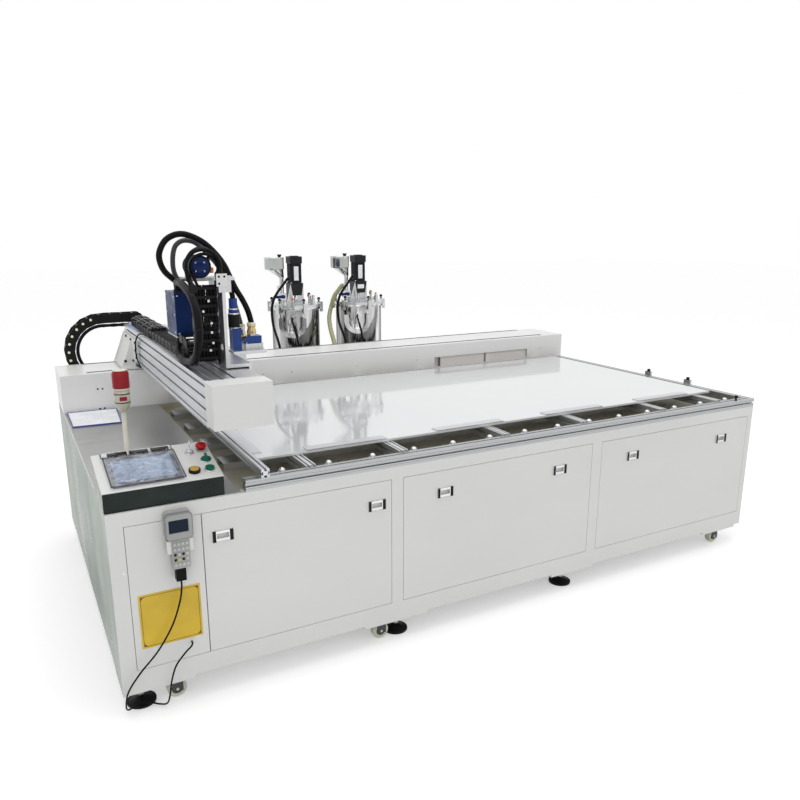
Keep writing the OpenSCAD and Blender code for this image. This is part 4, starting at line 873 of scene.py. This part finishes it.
def make_servo_cables():
    cables = Piece("servo_cables", BLACK_RUBBER, "head")
    outer = [(432, 360, 1282), (412, 372, 1306), (400, 384, 1330)]
    inner = [(446, 358, 1280), (424, 370, 1312)]
    for k in range(19):
        a = math.radians(215 - 14 * k)
        outer.append((SERVO_X + 4 + 60 * math.cos(a), 388 - 1.5 * k, SERVO_Z + 2 + 60 * math.sin(a)))
        inner.append((SERVO_X + 10 + 48 * math.cos(a), 396 - 1.2 * k, SERVO_Z + 46 * math.sin(a)))
    outer += [(500, 352, 1318), (496, 344, 1284), (486, 336, 1256), (470, 328, 1240)]
    inner += [(498, 366, 1330), (488, 350, 1290), (462, 334, 1262)]
    over = [(487, 457, 1402), (492, 440, 1424), (470, 410, 1440), (436, 386, 1442), (404, 372, 1424),
            (388, 366, 1392), (386, 362, 1352), (398, 356, 1310), (420, 346, 1280)]
    for route, steps, radius in ((outer, 5, 7.5), (inner, 5, 5.5), (over, 6, 6)):
        cables.tube(smooth_path(route, steps), radius)
    cables.done()


BOX_LEFT, BOX_FRONT, BOX_TOP = 376, 550, 1272.5


def make_box_fittings():
    # Screws and lid of the electronics box, with the glands on its top
    screws = Piece("box_fittings", POLISHED, "head")
    head = screw_head(3.6, 1, 1.9, 1, 1.3, 0.8)
    for x, z in ((386, 1118), (468, 1118), (386, 1262), (468, 1262), (442, 1192)):
        screws.lathe((x, BOX_FRONT, z), -BACK, head, 18)
    for y in (566, 704):
        for z in (1122, 1190, 1258):
            screws.lathe((BOX_LEFT, y, z), -RIGHT, head, 18)
    screws.done()
    lid = Piece("box_lid", BLUE_BOX, "head")
    lid.box((374.8, 548.6, 1262), (479.2, 556, 1273.2))
    lid.box((374.8, 556, 1269), (479.2, 721.2, 1273.2))
    lid.done(0.8)
    glands = Piece("box_glands", BLACK, "head")
    for x, y, r in ((415, 600, 12), (437, 645, 10), (395, 567, 14)):
        glands.nut((x, y, BOX_TOP), UP, r + 5.5, 6.5)
        glands.lathe((x, y, BOX_TOP + 6.5), UP, [(r + 3, 0), (r + 3, 3), (r + 1.2, 9), (r + 0.3, 9)], 28)
    glands.done(0.6)


GUIDE_Y = 305


def make_guide_detail():
    # Studs on the upright cable guide
    studs = Piece("guide_studs", POLISHED, "head")
    for x, z in ((441, 1262), (447, 1183), (446, 1150), (449, 1112), (438, 1086), (420, 1226)):
        studs.lathe((x, GUIDE_Y - 12, z), -BACK, screw_head(5, 1.4, 2.2, 1.2, 1.8, 1), 20)
    studs.done()
    # Top bracket of the post, with black discs as painted shade in its holes
    post = Piece("post_bracket", WHITE, "head")
    post.box((459, 237.5, 1315), (497, 241.8, 1359))
    # Painted shade: black discs where the bracket's holes are
    post.use(BLACK)
    for x, z in ((468, 1349), (487, 1349), (468, 1325)):
        post.lathe((x, 237.6, z), -BACK, [(4, 0), (4, 0.5), (3.4, 0.7)], 20)
    post.done(0.6)
    ties = Piece("conduit_ties", BLACK, "head")
    for p, axis in (((368, 200, 1313), (0.15, 0.98, -0.12)), ((367, 150, 1180), (0, 0.1, 1))):
        ties.lathe(Vector(p) - Vector(axis) * 2.2, axis, disc(16, 4.8, 1.8, 0.4), 28)
    ties.done()
    # Cables standing close together inside the upright guide
    cables = Piece("guide_cables", BLACK_RUBBER, "head")
    for k in range(7):
        line = []
        for n in range(9):
            x = 391 + 12.7 * k + 1.2 * math.sin(2.1 * n + k)
            line.append((x, GUIDE_Y + 1.5 * math.sin(1.3 * n + 2 * k), 1046 + 34 * n))
        cables.tube(smooth_path(line, 5), 6.3, 10)
    cables.done()


HOSE_ENDS = {"a": (685.5, 600, 1135), "b": (657.5, 655, 1124)}
PUMP_X, PUMP_Y = 614.5, 600
PORT_Z = 1086
PUMP_BASE = 1056


def make_unions():
    # Brass unions and coloured caps where the hoses meet the pumps
    for name, (x, y, top) in HOSE_ENDS.items():
        union = Piece(f"union_{name}", BRASS, "pump_slide")
        union.nut((x, y, top - 42), UP, 19.6, 16)
        union.lathe((x, y, top - 26), UP, [(17, 0), (17, 5), (15.4, 7), (15.4, 12), (18, 13), (18, 19)], 32)
        union.use(CREAM)
        union.lathe((x, y, top - 8), UP, [(17.2, 0), (18.4, 1), (18.4, 8), (16, 11), (14.2, 13)], 32)
        union.use(STAINLESS).lathe((x, y, top - 30), UP, [(18.4, 0), (18.4, 3), (16.8, 4)], 32)
        union.done(0.5)


def make_pump_detail():
    # Side fittings on the first pump
    ports = Piece("pump_ports", BRASS, "pump_slide")
    ports.nut((636, PUMP_Y, PORT_Z), RIGHT, 11, 15)
    ports.lathe((651, PUMP_Y, PORT_Z), RIGHT, [(8, 0), (8, 6), (6, 7), (6, 14)], 24)
    ports.use(CREAM).lathe((646, 590, 1112), UP, [(9, 0), (10, 1), (10, 9), (7, 12)], 24)
    ports.use(STEEL).nut((646, 590, 1096), UP, 9, 16)
    ports.done(0.5)
    # Bands round its motor, and the bolts of the motor's flange
    bands = Piece("pump_bands", POLISHED, "pump_slide")
    for low, high, r in ((1116, 1124, 24.2), (1176, 1182, 24), (1195, 1200, 21)):
        bands.lathe((PUMP_X, PUMP_Y, low), UP, disc(r, high - low, 2, 0.6), 40)
    for x, y in spaced_round(PUMP_X, PUMP_Y, 19, 4, 45):
        bands.lathe((x, y, 1122), UP, [(3.6, 0), (3.6, 3.6), (2.8, 4.2)], 6, smooth=False)
    bands.done()
    feet = Piece("pump_feet", POLISHED, "pump_slide")
    for x in (655, 718):
        for y in (576, 624):
            feet.lathe((x, y, PUMP_BASE), UP, screw_head(4.2, 3.4, 4.2, 0.8, 1.8, 1.6), 20)
    feet.done()


# Hoses from the head down to the pump slide
def lead_line(points, steps):
    """The CAD source's route: straight first and last stretch, smooth between."""
    points = [Vector(p) for p in points]
    return [points[0]] + smooth_path(points[1:-1], steps) + [points[-1]]


HEAD_CORNER = Vector((355, 245, 1023))


def head_line(route, steps, *more):
    """Line along a route given from the head's corner, and on through points given as in at()."""
    return lead_line([HEAD_CORNER + Vector(p) for p in route] + [*more], steps)


HOSE_A = [(60, 355, 259), (60, 355, 266), (50, 355, 284), (26, 355, 305), (2, 355, 330), (-12, 355, 364),
          (-12, 355, 400), (9, 355, 440), (41, 355, 462), (78, 355, 468), (118, 355, 457), (160, 355, 433),
          (201, 355, 393), (232, 355, 349), (254, 355, 299), (274, 355, 254), (300, 355, 208),
          (320, 355, 162)]
HOSE_B = [(82, 400, 259), (82, 400, 266), (70, 400, 284), (52, 400, 308), (44, 400, 345), (48, 400, 394),
          (62, 400, 427), (91, 400, 443), (128, 400, 438), (157, 400, 417), (187, 400, 386), (217, 400, 348),
          (246, 400, 296), (264, 402, 251), (277, 405, 205), (290, 408, 160)]
CONDUIT = [(40, 322, 259), (40, 322, 266), (28, 272, 290), (15, 190, 299), (10, 90, 294), (10, -6, 272),
           (12, -66, 232), (12, -92, 180), (12, -90, 135), (12, -52, 78), (12, 20, 35), (12, 110, 18),
           (12, 190, 17), (12, 255, 28), (26, 312, 50), (36, 328, 69), (36, 328, 79)]
CONDUIT_RADIUS = 14
# The pump motor's lead comes out of hose A where it starts to fall, and ends inside the motor's plug
MOTOR_LEAD = HOSE_A[9:13] + [(224, 355, 353), (241, 355, 310), (253, 355, 262), (259.5, 355, 225),
                             (259.5, 355, 190)]
MOTOR_LEAD_RADIUS = 10.5


def make_hoses():
    # Hose b is black rubber too; its lighter grey colour is a painted sheen
    for name, route, radius, material in (("a", HOSE_A, 12, BLACK_RUBBER), ("b", HOSE_B, 10, HOSE_SHEEN_GREY)):
        end = Vector(HOSE_ENDS[name])
        line = head_line(route, 24, end + UP * 8, end)
        hose = Piece(f"pump_hose_{name}", material, None)
        hose.tube(line, radius, 16, ribs=(5.6, 0.6))
        made = hose.done()
        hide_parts("pump_hoses")
        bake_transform(made)
    lead = Piece("pump_motor_lead", BLACK_RUBBER, None)
    lead.tube(head_line(MOTOR_LEAD, 24), MOTOR_LEAD_RADIUS, 16)
    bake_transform(lead.done())
    conduit = Piece("corrugated_conduit", BLACK_RUBBER, "head")
    conduit.tube(head_line(CONDUIT, 26), CONDUIT_RADIUS, 16, ribs=(5.4, 1.0))
    made = conduit.done()
    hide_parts("head_conduit")


# Tanks
TANKS = {1: 1432, 2: 1873}
TANK_Y = 2080
HOPPER_OFFSET = 130
HOPPER_FOOT, HOPPER_TOP = 1268, 1334
LID_TOP, CLAMP_TOP = 1056, 1068
MOTOR_FOOT, MOTOR_CAP = 1182, 1310


def make_hopper(i, x):
    # Bright facets and rim of the filling hopper
    hopper = Piece(f"hopper_shell_{i}", SMOKE_GLASS)
    profile = [(56.5, 0), (59.2, 6), (59.6, 12), (59.6, 62), (58.8, 68), (57, 70)]
    hopper.lathe((x, TANK_Y, HOPPER_FOOT), UP, profile, 16, smooth=False)
    hopper.done(1.0)
    rim = Piece(f"hopper_rim_{i}", STAINLESS)
    profile = [(59.5, 0), (61.5, 1), (61.5, 6), (60, 8.5), (40, 9.6), (20, 9.8)]
    rim.lathe((x, TANK_Y, HOPPER_TOP), UP, profile, 48)
    rim.done()


def make_motor_detail(i, x):
    # Bare plate on the motor, its cooling cap and its bolts
    y = TANK_Y
    plate = Piece(f"motor_plate_{i}", PAPER)
    plate.box((x - 16, y - 37.9, 1200), (x + 14, y - 37, 1286))
    if i == 2:
        plate.box((x - 24, y - 42.7, 1136), (x + 22, y - 42, 1162))
    plate.done(0.2)
    cap = Piece(f"motor_cap_{i}", BLACK_PAINT)
    for k in range(9):
        rib = 8.6 * k - 37
        cap.box((x + rib, y - 39.6, MOTOR_CAP), (x + rib + 3.6, y - 38.8, MOTOR_CAP + 30))
        cap.box((x - 39.6, y + rib, MOTOR_CAP), (x - 38.8, y + rib + 3.6, MOTOR_CAP + 30))
    cap.lathe((x, y, MOTOR_CAP + 35.5), UP, [(30, 0), (30, 2.4), (27, 4.4), (8, 4.6)], 40)
    cap.done(0.3)
    bolts = Piece(f"motor_bolts_{i}", POLISHED)
    for side in (-34, 34):
        for end in (-34, 34):
            bolts.lathe((x + side, y + end, MOTOR_FOOT), UP, screw_head(5, 5, 5.8, 0.8, 2.4, 2.5), 20)
    for bolt_x, bolt_y in spaced_round(x, y, 118, 6, 12):
        bolts.lathe((bolt_x, bolt_y, LID_TOP), UP, [(5, 0), (5, 2.4), (3, 3)], 6, smooth=False)
    bolts.done()


def make_lid_fittings(i, x):
    # Hand nuts of the swing clamps, and the plugs in the lid
    clamps = Piece(f"clamp_knobs_{i}", BLACK)
    profile = [(5.2, 0), (5.6, 1), (5.6, 12), (9.3, 13), (9.6, 20), (7, 26), (3, 27.6)]
    for knob_x, knob_y in spaced_round(x, TANK_Y, 149, 6, 30):
        clamps.lathe((knob_x, knob_y, CLAMP_TOP), UP, profile, 20)
    clamps.done()
    fittings = Piece(f"tank_fittings_{i}", RED if i == 1 else BRASS)
    fittings.lathe((x + 106, TANK_Y + 30, 1106), UP, [(5.2, 0), (9, 1), (9, 9), (6, 11)], 24)
    if i == 1:
        front = TANK_Y - 42
        fittings.use(ORANGE).lathe((x - 34, front, 1086), -BACK, [(8, 0), (8, 9), (6, 10), (6, 18)], 24)
        fittings.use(PALE_BLUE).lathe((x - 8, front, 1078), -BACK, [(7, 0), (7, 8), (5, 9), (5, 16)], 24)
    fittings.done()


# Rear cover
COVER_FRONT = 1475
COVER_TOP = 825
SLOTS = (1514, 1773)
SLOT_WIDTH = 12
SLOT_START, SLOT_END = 126, 2956
COVER_END = 3060
WINDOW = (2100, 2811, 688, 745)
SHUTTER_END = 3050.5
GUARD_POST = (2474, 2486)
COVER_SCREWS = (1008, 1172, 1574, 1975, 2920)
COVER_SCREW_Z = 742
COVER_HOLES = ((164, 747), (186, 746), (166, 647), (187, 648))


def make_cover_detail():
    # Brush strips and edging of the two slots in which the gantry's legs run
    brushes = Piece("slot_brushes", BLACK)
    edging = Piece("slot_edging", DARK_GREY)
    ends = Piece("slot_ends", WHITE_COVER)
    for y in SLOTS:
        for side in (y + 0.1, y + SLOT_WIDTH - 2.7):
            brushes.box((SLOT_START + 1, side, 800), (SLOT_END, side + 2.6, 824.6))
        for side in (y - 6, y + SLOT_WIDTH):
            edging.box((SLOT_START, side, 824.5), (SLOT_END + 2, side + 6, 825.8))
        ends.box((SLOT_END, y - 0.5, 821), (COVER_END, y + SLOT_WIDTH + 0.5, COVER_TOP + 0.1))
    brushes.done()
    edging.done(0.3)
    ends.done()

    # Sheet that closes the right part of the window, and the guard inside the open part
    x0, x1, z0, z1 = WINDOW
    shutter = Piece("window_end", WHITE_COVER)
    shutter.box((x1, COVER_FRONT - 0.2, z0 - 0.5), (SHUTTER_END, COVER_FRONT + 3, z1 + 0.5))
    shutter.done(0.4)
    guard = Piece("window_guard", SPINE)
    guard.box((x0 + 44, COVER_FRONT + 11, z0 - 6), (x1 + 20, COVER_FRONT + 14, z1 + 8))
    guard.box((x0 - 10, COVER_FRONT + 24, z0 - 6), (x0 + 46, COVER_FRONT + 27, z1 + 8))
    left, right = GUARD_POST
    guard.use(DARK_GREY).box((left, COVER_FRONT + 8, z0 - 2), (right, COVER_FRONT + 11.5, z1 + 2))
    guard.box((x0 + 40, COVER_FRONT + 6, z0 - 2), (x0 + 44, COVER_FRONT + 26, z1 + 2))
    guard.done(0.5)

    # Screws along the front, and at the left end black discs: painted shade in the cover's holes
    screws = Piece("cover_screws", STEEL)
    for x in COVER_SCREWS:
        screws.lathe((x, COVER_FRONT, COVER_SCREW_Z), -BACK, screw_head(4.6, 0.7, 1.5, 1.2, 1.8, 0.6), 20)
    screws.lathe((2915, 1490, COVER_TOP), UP, screw_head(5, 0.8, 1.7, 1.4, 1.8, 0.6), 20)
    screws.done()
    # Painted shade: flat black discs stand for the dark inside of the holes
    holes = Piece("cover_hole_shade", BLACK)
    for x, z in COVER_HOLES:
        holes.lathe((x, COVER_FRONT - 0.1, z), -BACK, [(4.4, 0), (4.4, 0.4), (3.8, 0.6)], 24)
    holes.done()


# Table edge and service panel
CROSS_BEAMS = (709, 1092, 1578, 2008, 2494, 2877)
CROSS_BEAM_HALF = 21
RAIL_START = 546
BALL_FIRST, BALL_PITCH, BALL_COUNT, BALL_ROW = 604, 180, 14, 53
RAIL_TOP = 678
ROLLER_SEAT = 667
KNOB_AT = (2978, 14)
LATCH_AT = (40, 0, 431)


def make_table_detail():
    # White lip behind the front rail, between the cross beams
    lip = Piece("rail_lip", WHITE)
    starts = [RAIL_START] + [x + CROSS_BEAM_HALF for x in CROSS_BEAMS]
    stops = [x - CROSS_BEAM_HALF for x in CROSS_BEAMS] + [RAIL_END]
    for x0, x1 in zip(starts, stops):
        lip.box((x0, 40.2, ROLLER_SEAT - 3), (x1, 64, ROLLER_SEAT))
    lip.done(0.5)
    cups = Piece("roller_flanges", POLISHED)
    profile = [(13.2, -1), (18, -1), (18, 1.4), (15, 3), (14.4, 6.4), (13.2, 7), (12.6, 5)]
    for k in range(BALL_COUNT):
        cups.lathe((BALL_FIRST + BALL_PITCH * k, BALL_ROW, ROLLER_SEAT), UP, profile, 28)
    cups.done()
    knob = Piece("rail_knob", BLACK)
    profile = [(6, 0), (6, 4), (4, 5), (4, 12), (8, 14), (9, 18), (8, 23), (4, 25)]
    knob.lathe((*KNOB_AT, RAIL_TOP), UP, profile, 24)
    knob.done()
    # Latch at the left edge of the service panel
    latch = Piece("panel_latch", POLISHED)
    latch.lathe(LATCH_AT, -BACK, screw_head(5.6, 0.8, 1.8, 1.2, 1.2, 0.8), 24)
    latch.done()


CASTERS = (184, 992, 2970)
CASTER_ROWS = (62, 1728)
AXLE_HEIGHT = -64.5
HUB_SIDE = 14.6


def make_caster_hubs():
    # Dark bearing covers on both sides of each wheel
    profile = [(20, 0), (20, 0.8), (17, 1.6), (12.4, 1.6), (12, 0.4)]
    for i in range(6):
        x, y = CASTERS[i % 3], CASTER_ROWS[i // 3]
        hub = Piece(f"wheel_hub_{i + 1}", DARK_STEEL, f"wheel_{i + 1}")
        for side in (-1, 1):
            hub.lathe((x, y + side * HUB_SIDE, AXLE_HEIGHT), BACK * side, profile, 36)
        hub.done()


# Cord of the hand-held programmer
PENDANT_CORD = [
    (213, -26, 382), (213, -26, 376), (212, -26, 350), (202, -26, 300), (172, -26, 222), (120, -28, 144),
    (57, -30, 80), (16, -24, 20), (6, -6, -40), (14, 26, -80), (42, 44, -86), (84, 44, -86),
    (118, 26, -92), (138, -2, -78), (146, -24, -36), (154, -32, 20), (172, -36, 76),
    (204, -38, 116), (228, -30, 131), (236, -14, 133), (236, -6, 133), (236, 2, 133)]
CORD_RADIUS = 3.0


def make_pendant_cord():
    line = lead_line(PENDANT_CORD, 9)[::-1]
    piece = Piece("programmer_cord", BLACK_RUBBER, None)
    piece.tube(line, CORD_RADIUS, 12)
    cord = piece.done()
    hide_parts("pendant_cord")
    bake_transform(cord)


make_pendant_cord()
make_hoses()
make_display()
make_lid()
make_collars()
make_keys()
make_lamp()
make_document_holder()
make_pendant()
make_notice()
make_chain_detail()
make_beam_detail()
make_chain_cables()
make_end_box_screws()
make_servo_detail()
make_servo_cables()
make_box_fittings()
make_guide_detail()
make_unions()
make_pump_detail()
for i, x in TANKS.items():
    make_hopper(i, x - HOPPER_OFFSET)
    make_motor_detail(i, x)
    make_lid_fittings(i, x)
make_cover_detail()
make_table_detail()
make_caster_hubs()


# Floor, lamps and world
AMBIENT = 0.72
FLOOR_LIFT = 0.34
AIM = (0, 0, 0.5)


def seen_directly(tree, other, seen):
    """A value that is `seen` for rays from the camera, mirrors and glass, and `other` for light."""
    path = tree.nodes.new("ShaderNodeLightPath")
    total = path.outputs["Is Camera Ray"]
    for kind in ("Is Glossy Ray", "Is Transmission Ray"):
        add = tree.nodes.new("ShaderNodeMath")
        add.operation = "MAXIMUM"
        tree.links.new(total, add.inputs[0])
        tree.links.new(path.outputs[kind], add.inputs[1])
        total = add.outputs["Value"]
    spread = new_node(tree, "ShaderNodeMapRange", To_Min=other, To_Max=seen)
    tree.links.new(total, spread.inputs["Value"])
    return spread.outputs["Result"]


def make_floor():
    bpy.ops.mesh.primitive_plane_add(size=60, location=(0, 0, 0))
    floor = bpy.context.object
    floor.name = "floor"
    material = bpy.data.materials.new("floor")
    material.use_nodes = True
    tree = material.node_tree
    shader = tree.nodes["Principled BSDF"]
    shader.inputs["Base Color"].default_value = (0.86, 0.86, 0.86, 1)
    shader.inputs["Roughness"].default_value = 0.9
    glow = tree.nodes.new("ShaderNodeEmission")
    tree.links.new(seen_directly(tree, 0.0, FLOOR_LIFT), glow.inputs["Strength"])
    both = tree.nodes.new("ShaderNodeAddShader")
    tree.links.new(shader.outputs["BSDF"], both.inputs[0])
    tree.links.new(glow.outputs["Emission"], both.inputs[1])
    tree.links.new(both.outputs["Shader"], tree.nodes["Material Output"].inputs["Surface"])
    floor.data.materials.append(material)


def make_area_lamp(name, spot, aim, size, power):
    data = bpy.data.lights.new(name, "AREA")
    data.shape = "RECTANGLE"
    data.size, data.size_y = size
    data.energy = power
    lamp = bpy.data.objects.new(name, data)
    bpy.context.scene.collection.objects.link(lamp)
    lamp.location = spot
    lamp.rotation_euler = (Vector(aim) - Vector(spot)).to_track_quat("-Z", "Y").to_euler()


def make_world():
    world = bpy.data.worlds.new("studio")
    bpy.context.scene.world = world
    world.use_nodes = True
    background = world.node_tree.nodes["Background"]
    background.inputs["Color"].default_value = (1, 1, 1, 1)
    world.node_tree.links.new(seen_directly(world.node_tree, AMBIENT, 1.0), background.inputs["Strength"])


make_floor()
make_area_lamp("lamp_top", (-0.5, -0.8, 5.2), (0.2, 0, 0.5), (5.0, 4.0), 90)
make_area_lamp("lamp_front", (-3.4, -5.2, 3.2), AIM, (3.5, 2.5), 24)
make_area_lamp("lamp_right", (5.0, -3.0, 3.0), AIM, (2.5, 2.5), 16)
make_world()
bpy.context.scene.view_settings.view_transform = "Standard"
